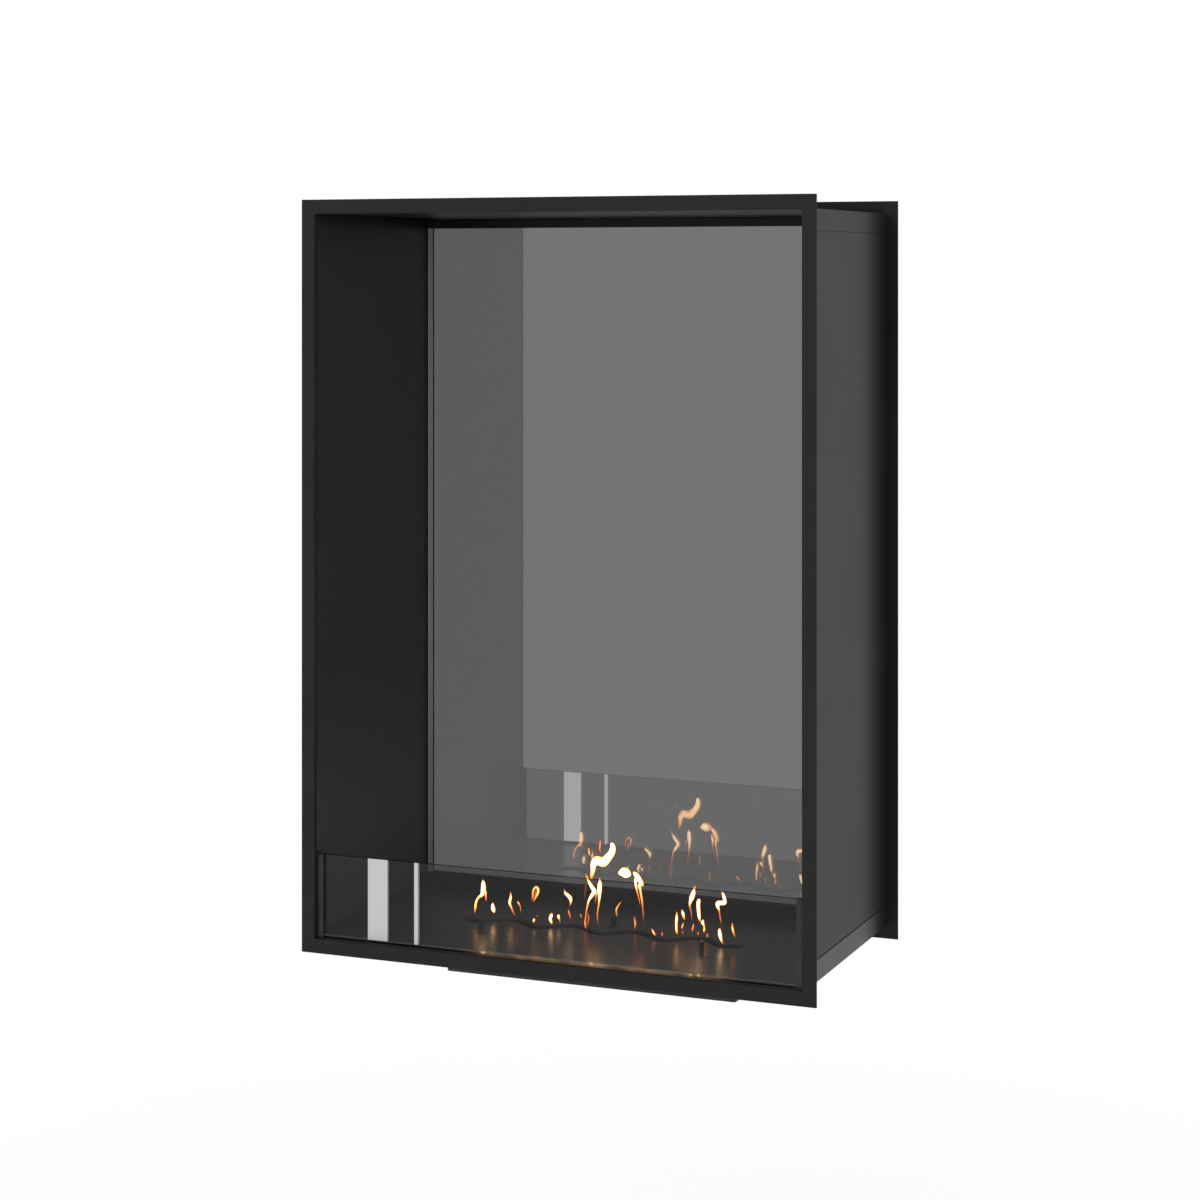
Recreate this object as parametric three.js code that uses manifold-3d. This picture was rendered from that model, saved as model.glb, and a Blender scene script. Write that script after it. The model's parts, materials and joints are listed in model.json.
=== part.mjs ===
// Double-sided built-in fireplace with a wave-slotted ethanol burner.
// Millimetres, +Z up, -Y towards the front. The origin is the centre of the casing's underside,
// which rests on the ledge of the wall that the fireplace is built into.

import * as THREE from "three";
import { mergeVertices } from "three/addons/utils/BufferGeometryUtils.js";
import Module from "manifold-3d";

const wasm = await Module();
wasm.setup();

// Driving sizes of the whole fireplace
const flangeWidth = 788;
const flangeHeight = 1100;
const overallDepth = 400;

// Gaps and runs shared by every piece
const seatGap = 0.3;
const cutOverrun = 6;

// Flange frames
const flangeFace = 21;
const flangeThickness = 2;
const hemDepth = 6;

// Casing sheets
const sheet = 1;
const topSkirtHeight = 30;
const bottomSkirtHeight = 30;
const bottomSeam = 2;

// Glass panes and what holds them
const glassThickness = 5;
const glassPlay = 0.5;
const glassEndPlay = 0.7;
const sealThickness = 1.2;
const sealSideGap = 0.4;
const lowGlassHeight = 122;
const channelWall = 1.5;
const channelReach = 10;
const channelProud = 0.5;
const frontRailDepth = 19.4;
const frontRailHeight = 9;
const frontGrooveDepth = 5.2;
const rearGlassSetBack = 20.3;
const rearRailWall = 3;
const rearBottomRailHeight = 20.7;
const rearBottomGrooveDepth = 12.5;
const rearRailWeb = 2.5;
const rearTopRailHeight = 12.8;
const rearTopGrooveDepth = 9.5;
const rearTopNeckHeight = 2.5;
const rearTopNeckWidth = 6;

// Burner tank, set flush with the floor on a seat ring
const rimEndReach = 20;
const rimSideReach = 24.5;
const rimThickness = 2;
const rimCorner = 4;
const pocketPlay = 0.8;
const tankLength = 456;
const tankDepth = 114;
const tankHeight = 67;
const tankWall = 1.5;
const tankCorner = 5;
const tankPlay = 0.75;
const ledgeReach = 4.2;
const ledgeDrop = 8;
const ledgeThickness = 1.5;
const woolHeight = 34;
const woolPlay = 3;

// Burner lid with the wave slot that the flames rise from
const lidThickness = 2;
const lidLipDrop = 7;
const lidLipThickness = 1.5;
const waveEndMargin = 6.2;
const waveAmplitude = 14;
const wavePitch = 99.5;
const waveWidth = 21.5;
const waveStepsPerPitch = 16;

// Shutter, which slides forwards under the lid and closes the slot
const shutterThickness = 1.5;
const shutterLap = 1.5;
const shutterMargin = 4.2;
const shutterEndPlay = 0.6;
const shutterEndStrip = 4.4;
const strapWidth = 8;
const strapThickness = 1.5;
const strapPitchShare = 0.75;

// Knobs
const knobRadius = 3.75;
const knobHeight = 14;
const knobChamfer = 0.8;
const knobEndInset = 52.2;
const knobEdgeInset = 4.2;
const spigotRadius = 2;
const shutterKnobRadius = 4;
const shutterKnobHeight = 12;
const shutterKnobEdgeInset = 11.2;
const stemRadius = 3.2;
const knobSteps = 24;
const cornerSteps = 5;

// Casing, worked out from the sizes above
const wall = 2 * sheet + seatGap;
const casingInset = flangeFace - wall;
const casingHalfWidth = flangeWidth / 2 - casingInset;
const casingHeight = flangeHeight - 2 * casingInset;
const openingHalfWidth = casingHalfWidth - wall;
const linedHalfWidth = casingHalfWidth - sheet - seatGap;
const floorTop = wall;
const ceilingUnder = casingHeight - wall;
const halfDepth = overallDepth / 2;
const hemEnd = halfDepth - flangeThickness - hemDepth;
const panelHalfDepth = hemEnd - seatGap;
const floorFront = -panelHalfDepth + frontRailDepth + seatGap;

// Glazing, worked out
const grooveWidth = glassThickness + 2 * glassPlay;
const channelDepth = grooveWidth + 2 * channelWall;
const channelY = -panelHalfDepth + channelDepth / 2;
const channelWebFace = openingHalfWidth - seatGap - channelWall;
const rearRailDepth = grooveWidth + 2 * rearRailWall;
const rearRailY = panelHalfDepth - rearGlassSetBack + rearRailDepth / 2;
const rearRailHalfLength = openingHalfWidth - seatGap;

// Burner, worked out
const rimLength = tankLength + 2 * rimEndReach;
const rimDepth = tankDepth + 2 * rimSideReach;
const seatHalfLength = rimLength / 2 + pocketPlay + sheet;
const seatHalfDepth = rimDepth / 2 + pocketPlay + sheet;
const lidTop = floorTop;
const lidUnder = lidTop - lidThickness;
const shutterTop = lidUnder - seatGap;
const shutterUnder = shutterTop - shutterThickness;
const tankInnerHalfLength = tankLength / 2 - tankWall;
const tankInnerHalfDepth = tankDepth / 2 - tankWall;
const lidHalfLength = tankInnerHalfLength - seatGap;
const lidHalfDepth = tankInnerHalfDepth - seatGap;
const waveHalfLength = lidHalfLength - waveEndMargin;
const knobInset = lidHalfLength - knobEndInset;
const shutterKnobBack = lidHalfDepth - shutterKnobEdgeInset;
const shutterTravel = waveWidth + shutterLap;
const shutterHalfLength = tankInnerHalfLength - seatGap - ledgeReach - shutterEndPlay;
const shutterFront = -(waveAmplitude + waveWidth / 2 + shutterMargin);
const shutterBack = waveAmplitude + waveWidth / 2 + shutterTravel + shutterLap;

// Turns any closed three.js geometry into a solid that can be joined and cut
function solidFrom(geometry) {
  const bare = new THREE.BufferGeometry();
  bare.setAttribute("position", geometry.getAttribute("position"));
  if (geometry.index) {
    bare.setIndex(geometry.index);
  }
  const merged = mergeVertices(bare);
  const mesh = new wasm.Mesh({
    numProp: 3,
    vertProperties: Float32Array.from(merged.getAttribute("position").array),
    triVerts: Uint32Array.from(merged.index.array),
  });
  return new wasm.Manifold(mesh);
}

// Turns a solid back into a geometry with flat faces
function geometryFrom(solid) {
  const mesh = solid.getMesh();
  const geometry = new THREE.BufferGeometry();
  geometry.setAttribute("position", new THREE.BufferAttribute(Float32Array.from(mesh.vertProperties), 3));
  geometry.setIndex(new THREE.BufferAttribute(Uint32Array.from(mesh.triVerts), 1));
  geometry.computeVertexNormals();
  return geometry;
}

// A block between two limits on each axis
function block([left, right], [front, back], [low, high]) {
  const geometry = new THREE.BoxGeometry(right - left, back - front, high - low);
  geometry.translate((left + right) / 2, (front + back) / 2, (low + high) / 2);
  return solidFrom(geometry);
}

// An outline seen from above, raised between two heights
function plate(shape, [low, high]) {
  const options = { depth: high - low, bevelEnabled: false, curveSegments: cornerSteps };
  const geometry = new THREE.ExtrudeGeometry(shape, options);
  geometry.translate(0, 0, low);
  return solidFrom(geometry);
}

// A section of [y, z] points, run along X on both sides of the middle
function barAlongX(section, halfLength) {
  const shape = new THREE.Shape(section.map(([y, z]) => new THREE.Vector2(y, z)));
  const geometry = new THREE.ExtrudeGeometry(shape, { depth: 2 * halfLength, bevelEnabled: false });
  geometry.translate(0, 0, -halfLength);
  const turn = new THREE.Matrix4().makeBasis(
    new THREE.Vector3(0, 1, 0),
    new THREE.Vector3(0, 0, 1),
    new THREE.Vector3(1, 0, 0),
  );
  geometry.applyMatrix4(turn);
  return solidFrom(geometry);
}

// A rectangle about the middle with round corners
function roundedRectangle(halfLength, halfWidth, radius) {
  const shape = new THREE.Shape();
  const x = halfLength - radius;
  const y = halfWidth - radius;
  shape.absarc(x, -y, radius, -Math.PI / 2, 0, false);
  shape.absarc(x, y, radius, 0, Math.PI / 2, false);
  shape.absarc(-x, y, radius, Math.PI / 2, Math.PI, false);
  shape.absarc(-x, -y, radius, Math.PI, 1.5 * Math.PI, false);
  shape.closePath();
  return shape;
}

// The burner rim's outline, moved out all round
function rimOutline(offset) {
  return roundedRectangle(rimLength / 2 + offset, rimDepth / 2 + offset, rimCorner + offset);
}

// The burner tank's outline, moved out all round, or in where the offset is negative
function tankOutline(offset) {
  return roundedRectangle(tankLength / 2 + offset, tankDepth / 2 + offset, tankCorner + offset);
}

// A turned piece from [radius, height] points that start and end on the axis
function turned(profile) {
  const points = profile.map(([radius, height]) => new THREE.Vector2(radius, height));
  const geometry = new THREE.LatheGeometry(points, knobSteps);
  geometry.rotateX(Math.PI / 2);
  return solidFrom(geometry);
}

function discCutter(radius, [low, high], x, y) {
  const disc = turned([[0, low], [radius, low], [radius, high], [0, high]]);
  return disc.translate([x, y, 0]);
}

function symmetric(half) {
  return [-half, half];
}

// A named mesh with a material of its own
function piece(name, solid, finish) {
  const mesh = new THREE.Mesh(geometryFrom(solid), new THREE.MeshStandardMaterial(finish));
  mesh.name = name;
  return mesh;
}

const blackSteel = { color: 0x333333, roughness: 0.42, metalness: 0.35 };
const innerSteel = { color: 0x2a2a2a, roughness: 0.38, metalness: 0.35 };
const floorSteel = { color: 0x383838, roughness: 0.3, metalness: 0.4 };
const darkAluminium = { color: 0x1b1b1b, roughness: 0.35, metalness: 0.6 };
const glossBlack = { color: 0x101010, roughness: 0.1, metalness: 0.2 };
const smokedGlass = { color: 0x55585a, roughness: 0.02, metalness: 0, transparent: true, opacity: 0.6 };
const clearGlass = { color: 0xdde6e4, roughness: 0.02, metalness: 0, transparent: true, opacity: 0.25 };
const blackRubber = { color: 0x141414, roughness: 0.9, metalness: 0 };
const tankSteel = { color: 0x8c8c8a, roughness: 0.35, metalness: 0.9 };
const paleWool = { color: 0xd8d4c8, roughness: 1, metalness: 0 };
const paleMetal = { color: 0xb8b8b4, roughness: 0.3, metalness: 0.9 };

// Front flange: a flat ring, with a hem on its inner edge that the casing butts against
function flangeFrame() {
  const faceXs = symmetric(flangeWidth / 2);
  const faceZs = [-casingInset, flangeHeight - casingInset];
  const face = block(faceXs, [-halfDepth, -halfDepth + flangeThickness], faceZs);
  const hem = block(symmetric(casingHalfWidth), [-halfDepth, -hemEnd], [0, casingHeight]);
  const openingYs = [-halfDepth - cutOverrun, -hemEnd + cutOverrun];
  const opening = block(symmetric(openingHalfWidth), openingYs, [floorTop, ceilingUnder]);
  return face.add(hem).subtract(opening);
}

function buildFlanges() {
  const group = new THREE.Group();
  const front = piece("front_flange_frame", flangeFrame(), blackSteel);
  const rear = piece("rear_flange_frame", flangeFrame(), blackSteel);
  rear.rotation.z = Math.PI;
  group.add(front, rear);
  return group;
}

// Top cover: a sheet folded down at both sides
function topCover() {
  const ys = symmetric(panelHalfDepth);
  const skirtUnder = casingHeight - topSkirtHeight;
  const body = block(symmetric(casingHalfWidth), ys, [skirtUnder, casingHeight]);
  const innerXs = symmetric(casingHalfWidth - sheet);
  const innerYs = symmetric(panelHalfDepth + cutOverrun);
  const hollow = block(innerXs, innerYs, [skirtUnder - cutOverrun, casingHeight - sheet]);
  return body.subtract(hollow);
}

// Bottom tray: a sheet folded up at both sides, open under the front rail and round the burner
function bottomTray() {
  const body = block(symmetric(casingHalfWidth), symmetric(panelHalfDepth), [0, bottomSkirtHeight]);
  const innerXs = symmetric(casingHalfWidth - sheet);
  const innerYs = symmetric(panelHalfDepth + cutOverrun);
  const hollow = block(innerXs, innerYs, [sheet, bottomSkirtHeight + cutOverrun]);
  const frontCutYs = [-panelHalfDepth - cutOverrun, floorFront];
  const frontCut = block(innerXs, frontCutYs, [-cutOverrun, sheet + cutOverrun]);
  const burnerCutXs = symmetric(seatHalfLength + seatGap);
  const burnerCutYs = symmetric(seatHalfDepth + seatGap);
  const burnerCut = block(burnerCutXs, burnerCutYs, [-cutOverrun, sheet + cutOverrun]);
  return body.subtract(hollow).subtract(frontCut).subtract(burnerCut);
}

// Floor plate: a flat sheet, cut out round the burner's rim
function floorPlate() {
  const under = floorTop - sheet;
  const flat = block(symmetric(linedHalfWidth), [floorFront, panelHalfDepth], [under, floorTop]);
  return flat.subtract(plate(rimOutline(pocketPlay), [under - cutOverrun, floorTop + cutOverrun]));
}

// Seat angle under the floor plate, as the one at +Y: a flange below the burner's rim and an upstand
function seatAngle(halfRun, [inner, outer]) {
  const seatTop = lidTop - rimThickness - seatGap;
  const under = seatTop - sheet;
  const flange = block(symmetric(halfRun), [inner, outer], [under, seatTop]);
  const upstand = block(symmetric(halfRun), [outer - sheet, outer], [under, floorTop - sheet - seatGap]);
  return flange.add(upstand);
}

// Burner seat: four angles round the tank, which take the burner's rim flush with the floor
function buildBurnerSeat() {
  const group = new THREE.Group();
  const longYs = [tankDepth / 2 + tankPlay, seatHalfDepth];
  const shortYs = [tankLength / 2 + tankPlay, seatHalfLength];
  const shortRun = tankDepth / 2 + tankPlay - seatGap;
  const rear = piece("rear_burner_seat", seatAngle(seatHalfLength, longYs), blackSteel);
  const front = piece("front_burner_seat", seatAngle(seatHalfLength, longYs), blackSteel);
  const left = piece("left_burner_seat", seatAngle(shortRun, shortYs), blackSteel);
  const right = piece("right_burner_seat", seatAngle(shortRun, shortYs), blackSteel);
  front.rotation.z = Math.PI;
  left.rotation.z = Math.PI / 2;
  right.rotation.z = -Math.PI / 2;
  group.add(front, rear, left, right);
  return group;
}

function outerSkin() {
  const zs = [bottomSkirtHeight + bottomSeam, casingHeight - topSkirtHeight - seatGap];
  return block(symmetric(sheet / 2), symmetric(panelHalfDepth), zs);
}

function innerLiner() {
  const zs = [floorTop + seatGap, ceilingUnder - seatGap];
  return block(symmetric(sheet / 2), symmetric(panelHalfDepth), zs);
}

function buildCasing() {
  const group = new THREE.Group();
  const ceilingZs = [ceilingUnder, ceilingUnder + sheet];
  const ceiling = block(symmetric(linedHalfWidth), symmetric(panelHalfDepth), ceilingZs);
  group.add(piece("top_cover", topCover(), blackSteel));
  group.add(piece("bottom_tray", bottomTray(), blackSteel));
  group.add(piece("floor_plate", floorPlate(), floorSteel));
  group.add(buildBurnerSeat());
  group.add(piece("ceiling_panel", ceiling, innerSteel));
  for (const [side, name] of [[-1, "left"], [1, "right"]]) {
    const skin = piece(`${name}_outer_skin`, outerSkin(), blackSteel);
    skin.position.x = side * (casingHalfWidth - sheet / 2);
    const liner = piece(`${name}_inner_liner`, innerLiner(), innerSteel);
    liner.position.x = side * (linedHalfWidth - sheet / 2);
    group.add(skin, liner);
  }
  return group;
}

// Front rail: a folded section with the groove that the low glass stands in
function frontRail() {
  const front = -panelHalfDepth;
  const back = front + frontRailDepth;
  const low = floorTop - frontRailHeight;
  const grooveFront = front + channelWall;
  const grooveBack = grooveFront + grooveWidth;
  const grooveFloor = floorTop - frontGrooveDepth;
  const section = [
    [front, low],
    [grooveBack + channelWall, low],
    [grooveBack + channelWall, floorTop - channelWall],
    [back - channelWall, floorTop - channelWall],
    [back - channelWall, low],
    [back, low],
    [back, floorTop],
    [grooveBack, floorTop],
    [grooveBack, grooveFloor],
    [grooveFront, grooveFloor],
    [grooveFront, floorTop],
    [front, floorTop],
  ];
  return barAlongX(section, linedHalfWidth);
}

function frontPad() {
  const low = floorTop - frontGrooveDepth + seatGap;
  const halfDepthOfPad = grooveWidth / 2 - sealSideGap;
  const ys = [channelY - halfDepthOfPad, channelY + halfDepthOfPad];
  return block(symmetric(channelWebFace - glassEndPlay), ys, [low, low + sealThickness]);
}

// Side channel seen from above: a web with two lips that open towards +X, about its own middle
function glassChannel() {
  const half = channelDepth / 2;
  const slot = grooveWidth / 2;
  const outline = new THREE.Shape();
  outline.moveTo(0, -half);
  outline.lineTo(channelReach, -half);
  outline.lineTo(channelReach, -slot);
  outline.lineTo(channelWall, -slot);
  outline.lineTo(channelWall, slot);
  outline.lineTo(channelReach, slot);
  outline.lineTo(channelReach, half);
  outline.lineTo(0, half);
  outline.closePath();
  return plate(outline, [floorTop + seatGap, floorTop + lowGlassHeight + channelProud]);
}

function lowGlass() {
  const padTop = floorTop - frontGrooveDepth + seatGap + sealThickness;
  const ys = [channelY - glassThickness / 2, channelY + glassThickness / 2];
  const zs = [padTop + seatGap, floorTop + lowGlassHeight];
  return block(symmetric(channelWebFace - glassEndPlay), ys, zs);
}

function buildFrontGlazing() {
  const group = new THREE.Group();
  group.add(piece("front_glass_rail", frontRail(), glossBlack));
  group.add(piece("front_glass_pad", frontPad(), blackRubber));
  group.add(piece("low_front_glass", lowGlass(), clearGlass));
  for (const [side, name] of [[-1, "left"], [1, "right"]]) {
    const channel = piece(`${name}_glass_channel`, glassChannel(), darkAluminium);
    channel.rotation.z = side > 0 ? Math.PI : 0;
    channel.position.set(side * (openingHalfWidth - seatGap), channelY, 0);
    group.add(channel);
  }
  return group;
}

// Rear bottom rail: an H-section, whose upper groove takes the tall smoked pane
function rearBottomRail() {
  const half = rearRailDepth / 2;
  const slot = grooveWidth / 2;
  const low = floorTop + seatGap;
  const high = low + rearBottomRailHeight;
  const grooveFloor = high - rearBottomGrooveDepth;
  const section = [
    [-half, low],
    [-slot, low],
    [-slot, grooveFloor - rearRailWeb],
    [slot, grooveFloor - rearRailWeb],
    [slot, low],
    [half, low],
    [half, high],
    [slot, high],
    [slot, grooveFloor],
    [-slot, grooveFloor],
    [-slot, high],
    [-half, high],
  ];
  return barAlongX(section.map(([y, z]) => [y + rearRailY, z]), rearRailHalfLength);
}

// Rear top rail: a U-section upside down, on a neck that stands off from the ceiling
function rearTopRail() {
  const half = rearRailDepth / 2;
  const slot = grooveWidth / 2;
  const neck = rearTopNeckWidth / 2;
  const high = ceilingUnder - seatGap;
  const shoulder = high - rearTopNeckHeight;
  const low = shoulder - rearTopRailHeight;
  const grooveCeiling = low + rearTopGrooveDepth;
  const section = [
    [-half, low],
    [-slot, low],
    [-slot, grooveCeiling],
    [slot, grooveCeiling],
    [slot, low],
    [half, low],
    [half, shoulder],
    [neck, shoulder],
    [neck, high],
    [-neck, high],
    [-neck, shoulder],
    [-half, shoulder],
  ];
  return barAlongX(section.map(([y, z]) => [y + rearRailY, z]), rearRailHalfLength);
}

function buildRearGlazing() {
  const group = new THREE.Group();
  const paneHalfLength = rearRailHalfLength - glassEndPlay;
  const sealHalfDepth = grooveWidth / 2 - sealSideGap;
  const sealYs = [rearRailY - sealHalfDepth, rearRailY + sealHalfDepth];
  const paneYs = [rearRailY - glassThickness / 2, rearRailY + glassThickness / 2];
  const grooveFloor = floorTop + seatGap + rearBottomRailHeight - rearBottomGrooveDepth;
  const topRailLow = ceilingUnder - seatGap - rearTopNeckHeight - rearTopRailHeight;
  const grooveCeiling = topRailLow + rearTopGrooveDepth;
  const bottomSealZs = [grooveFloor + seatGap, grooveFloor + seatGap + sealThickness];
  const topSealZs = [grooveCeiling - seatGap - sealThickness, grooveCeiling - seatGap];
  const paneZs = [bottomSealZs[1] + seatGap, topSealZs[0] - seatGap];
  const xs = symmetric(paneHalfLength);
  group.add(piece("rear_bottom_rail", rearBottomRail(), darkAluminium));
  group.add(piece("rear_top_rail", rearTopRail(), darkAluminium));
  group.add(piece("rear_glass", block(xs, paneYs, paneZs), smokedGlass));
  group.add(piece("rear_glass_bottom_seal", block(xs, sealYs, bottomSealZs), blackRubber));
  group.add(piece("rear_glass_top_seal", block(xs, sealYs, topSealZs), blackRubber));
  return group;
}

// Burner tank: a deep open box hung from a flat rim
function burnerTank() {
  const tankFloor = lidTop - tankHeight;
  const rim = plate(rimOutline(0), [lidTop - rimThickness, lidTop]);
  const body = plate(tankOutline(0), [tankFloor, lidTop]);
  const inside = plate(tankOutline(-tankWall), [tankFloor + tankWall, lidTop + cutOverrun]);
  return rim.add(body).subtract(inside);
}

// Lid ledge: an angle on the tank's end wall, seen from the front, for the end at +X
function lidLedge() {
  const outer = tankInnerHalfLength - seatGap;
  const inner = outer - ledgeReach;
  const halfRun = lidHalfDepth - lidLipThickness - shutterEndPlay;
  const top = lidUnder - seatGap;
  const leg = block([outer - ledgeThickness, outer], symmetric(halfRun), [top - ledgeDrop, top]);
  const shelf = block([inner, outer], symmetric(halfRun), [top - ledgeThickness, top]);
  return leg.add(shelf);
}

function fuelWool() {
  const low = lidTop - tankHeight + tankWall + seatGap;
  const xs = symmetric(tankInnerHalfLength - woolPlay);
  return block(xs, symmetric(tankInnerHalfDepth - woolPlay), [low, low + woolHeight]);
}

function waveCentre(x) {
  return -waveAmplitude * Math.cos((2 * Math.PI * x) / wavePitch);
}

// The wave slot's outline: two parallel waves joined by straight ends
function waveShape(halfLength, width) {
  const steps = Math.ceil((2 * halfLength * waveStepsPerPitch) / wavePitch);
  const stations = Array.from({ length: steps + 1 }, (_, step) => halfLength * ((2 * step) / steps - 1));
  const front = stations.map((x) => new THREE.Vector2(x, waveCentre(x) - width / 2));
  const back = stations.map((x) => new THREE.Vector2(x, waveCentre(x) + width / 2));
  return new THREE.Shape([...front, ...back.reverse()]);
}

// Burner lid: a plate with turned-down lips, the wave slot and the shutter knob's slot
function burnerLid() {
  const top = plate(tankOutline(-tankWall - seatGap), [lidUnder - lidLipDrop, lidTop]);
  const innerYs = symmetric(lidHalfDepth - lidLipThickness);
  const innerXs = symmetric(lidHalfLength + cutOverrun);
  const hollow = block(innerXs, innerYs, [lidUnder - lidLipDrop - cutOverrun, lidUnder]);
  const through = [lidUnder - cutOverrun, lidTop + cutOverrun];
  const wave = plate(waveShape(waveHalfLength, waveWidth), through);
  const slotRadius = stemRadius + seatGap;
  const slotYs = [shutterKnobBack - shutterTravel, shutterKnobBack];
  const slot = block(symmetric(slotRadius), slotYs, through);
  const slotEnds = slotYs.map((y) => discCutter(slotRadius, through, 0, y));
  let lid = top.subtract(hollow).subtract(wave).subtract(slot);
  for (const end of slotEnds) {
    lid = lid.subtract(end);
  }
  for (const side of [-1, 1]) {
    const y = -lidHalfDepth + knobEdgeInset;
    lid = lid.subtract(discCutter(spigotRadius + seatGap, through, side * knobInset, y));
  }
  return lid;
}

// Strap: a flat bar between the lid's lips that carries the shutter
function shutterStrap() {
  const top = shutterUnder - seatGap;
  const halfRun = lidHalfDepth - lidLipThickness - seatGap;
  return block(symmetric(strapWidth / 2), symmetric(halfRun), [top - strapThickness, top]);
}

function shutterPlate() {
  const zs = [shutterUnder, shutterTop];
  const flat = block(symmetric(shutterHalfLength), [shutterFront, shutterBack], zs);
  const through = [shutterUnder - cutOverrun, shutterTop + cutOverrun];
  const wave = plate(waveShape(shutterHalfLength - shutterEndStrip, waveWidth), through);
  const hole = discCutter(spigotRadius + seatGap, through, 0, shutterKnobBack);
  return flat.subtract(wave).subtract(hole);
}

// Lift knob: a short post with a spigot in the lid, from the lid's underside up
function liftKnob() {
  const shoulder = lidThickness + seatGap;
  const top = shoulder + knobHeight;
  return turned([
    [0, 0],
    [spigotRadius, 0],
    [spigotRadius, shoulder],
    [knobRadius, shoulder],
    [knobRadius, top - knobChamfer],
    [knobRadius - knobChamfer, top],
    [0, top],
  ]);
}

// Shutter knob: a spigot in the shutter, a stem through the lid's slot and a head above the lid
function shutterKnob() {
  const stemLow = shutterThickness + seatGap;
  const headLow = lidTop + seatGap - shutterUnder;
  const top = headLow + shutterKnobHeight;
  return turned([
    [0, 0],
    [spigotRadius, 0],
    [spigotRadius, stemLow],
    [stemRadius, stemLow],
    [stemRadius, headLow],
    [shutterKnobRadius, headLow],
    [shutterKnobRadius, top - knobChamfer],
    [shutterKnobRadius - knobChamfer, top],
    [0, top],
  ]);
}

function buildShutter() {
  const group = new THREE.Group();
  const knob = piece("shutter_knob", shutterKnob(), darkAluminium);
  knob.position.set(0, shutterKnobBack, shutterUnder);
  group.add(piece("shutter_plate", shutterPlate(), tankSteel), knob);
  return group;
}

function buildLid() {
  const group = new THREE.Group();
  group.add(piece("burner_lid", burnerLid(), floorSteel));
  for (const [side, name] of [[-1, "left"], [1, "right"]]) {
    const strap = piece(`${name}_shutter_strap`, shutterStrap(), tankSteel);
    strap.position.x = side * strapPitchShare * wavePitch;
    const knob = piece(`${name}_lift_knob`, liftKnob(), paleMetal);
    knob.position.set(side * knobInset, -lidHalfDepth + knobEdgeInset, lidUnder);
    group.add(strap, knob);
  }
  group.add(buildShutter());
  return group;
}

function buildBurner() {
  const group = new THREE.Group();
  group.add(piece("burner_tank", burnerTank(), tankSteel));
  group.add(piece("fuel_wool", fuelWool(), paleWool));
  const rightLedge = piece("right_lid_ledge", lidLedge(), tankSteel);
  const leftLedge = piece("left_lid_ledge", lidLedge(), tankSteel);
  leftLedge.rotation.z = Math.PI;
  group.add(leftLedge, rightLedge, buildLid());
  return group;
}

const fireplace = new THREE.Group();
fireplace.add(buildFlanges(), buildCasing(), buildFrontGlazing(), buildRearGlazing(), buildBurner());

export default fireplace;
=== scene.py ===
"""Looks of a double-sided built-in fireplace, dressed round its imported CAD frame.

The casing, glazing, burner and lid keep the frame's shapes and get softened edges and procedural
finishes. The slot's rolled lip, the wool's fibres and the flames are made here.
"""

import json
import logging
import math
from abc import ABC, abstractmethod
from collections.abc import Callable, Mapping, Sequence
from dataclasses import dataclass, replace
from enum import Enum
from functools import cache, cached_property
from typing import Any, ClassVar, Union

import bmesh
import bpy
import numpy as np
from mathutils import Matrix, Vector

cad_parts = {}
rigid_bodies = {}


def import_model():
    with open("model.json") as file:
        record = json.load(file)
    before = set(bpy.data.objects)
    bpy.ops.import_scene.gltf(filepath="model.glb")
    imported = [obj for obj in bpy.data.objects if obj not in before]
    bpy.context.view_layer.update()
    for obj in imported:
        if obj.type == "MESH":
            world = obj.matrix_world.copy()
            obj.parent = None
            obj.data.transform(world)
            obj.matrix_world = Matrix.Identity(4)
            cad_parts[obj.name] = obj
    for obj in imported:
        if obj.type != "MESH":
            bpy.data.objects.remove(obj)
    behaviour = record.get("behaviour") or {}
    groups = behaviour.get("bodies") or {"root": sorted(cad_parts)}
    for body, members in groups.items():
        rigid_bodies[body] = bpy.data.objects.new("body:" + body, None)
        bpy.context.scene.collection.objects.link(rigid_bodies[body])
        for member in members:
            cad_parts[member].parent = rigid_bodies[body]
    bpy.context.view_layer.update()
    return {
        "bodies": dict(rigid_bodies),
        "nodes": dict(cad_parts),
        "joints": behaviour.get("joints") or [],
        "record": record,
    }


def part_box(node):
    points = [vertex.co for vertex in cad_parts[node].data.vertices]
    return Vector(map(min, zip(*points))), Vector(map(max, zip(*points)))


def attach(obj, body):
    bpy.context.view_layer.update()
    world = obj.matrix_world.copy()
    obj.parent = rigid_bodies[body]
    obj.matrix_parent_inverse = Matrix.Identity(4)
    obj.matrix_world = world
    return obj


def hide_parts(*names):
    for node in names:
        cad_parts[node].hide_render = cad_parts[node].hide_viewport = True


log = logging.getLogger("fireplace")

Colour = tuple[float, float, float]
Point = tuple[float, float, float]
Limits = tuple[float, float]
Operand = Union[float, "Signal"]
Operator = Callable[["Signal", Operand], "Signal"]
Paint = Union[Colour, "Signal"]
Settings = Mapping[str, Any]
Sockets = Mapping[Union[str, int], Any]

BLACK: Colour = (0.0, 0.0, 0.0)
WHITE: Colour = (1.0, 1.0, 1.0)
MILLIMETRES = 1000.0


class Body(Enum):
    """The bodies that pieces ride on."""

    CASING = "casing"
    LOW_GLASS = "low_glass"
    LID = "lid"
    SHUTTER = "shutter"


class Grain(Enum):
    """The direction that a metal's brushing runs in, as stretches of the noise on X, Y and Z."""

    ALONG_X = (0.02, 1.0, 1.0)
    ALONG_Z = (1.0, 1.0, 0.02)
    NONE = (1.0, 1.0, 1.0)


@dataclass(frozen=True)
class Pattern:
    """Cloudy noise: features per metre, octaves, the share that each keeps, and a stretch if any."""

    scale: float
    detail: float
    rough: float = 0.5
    stretch: Point | None = None


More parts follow.
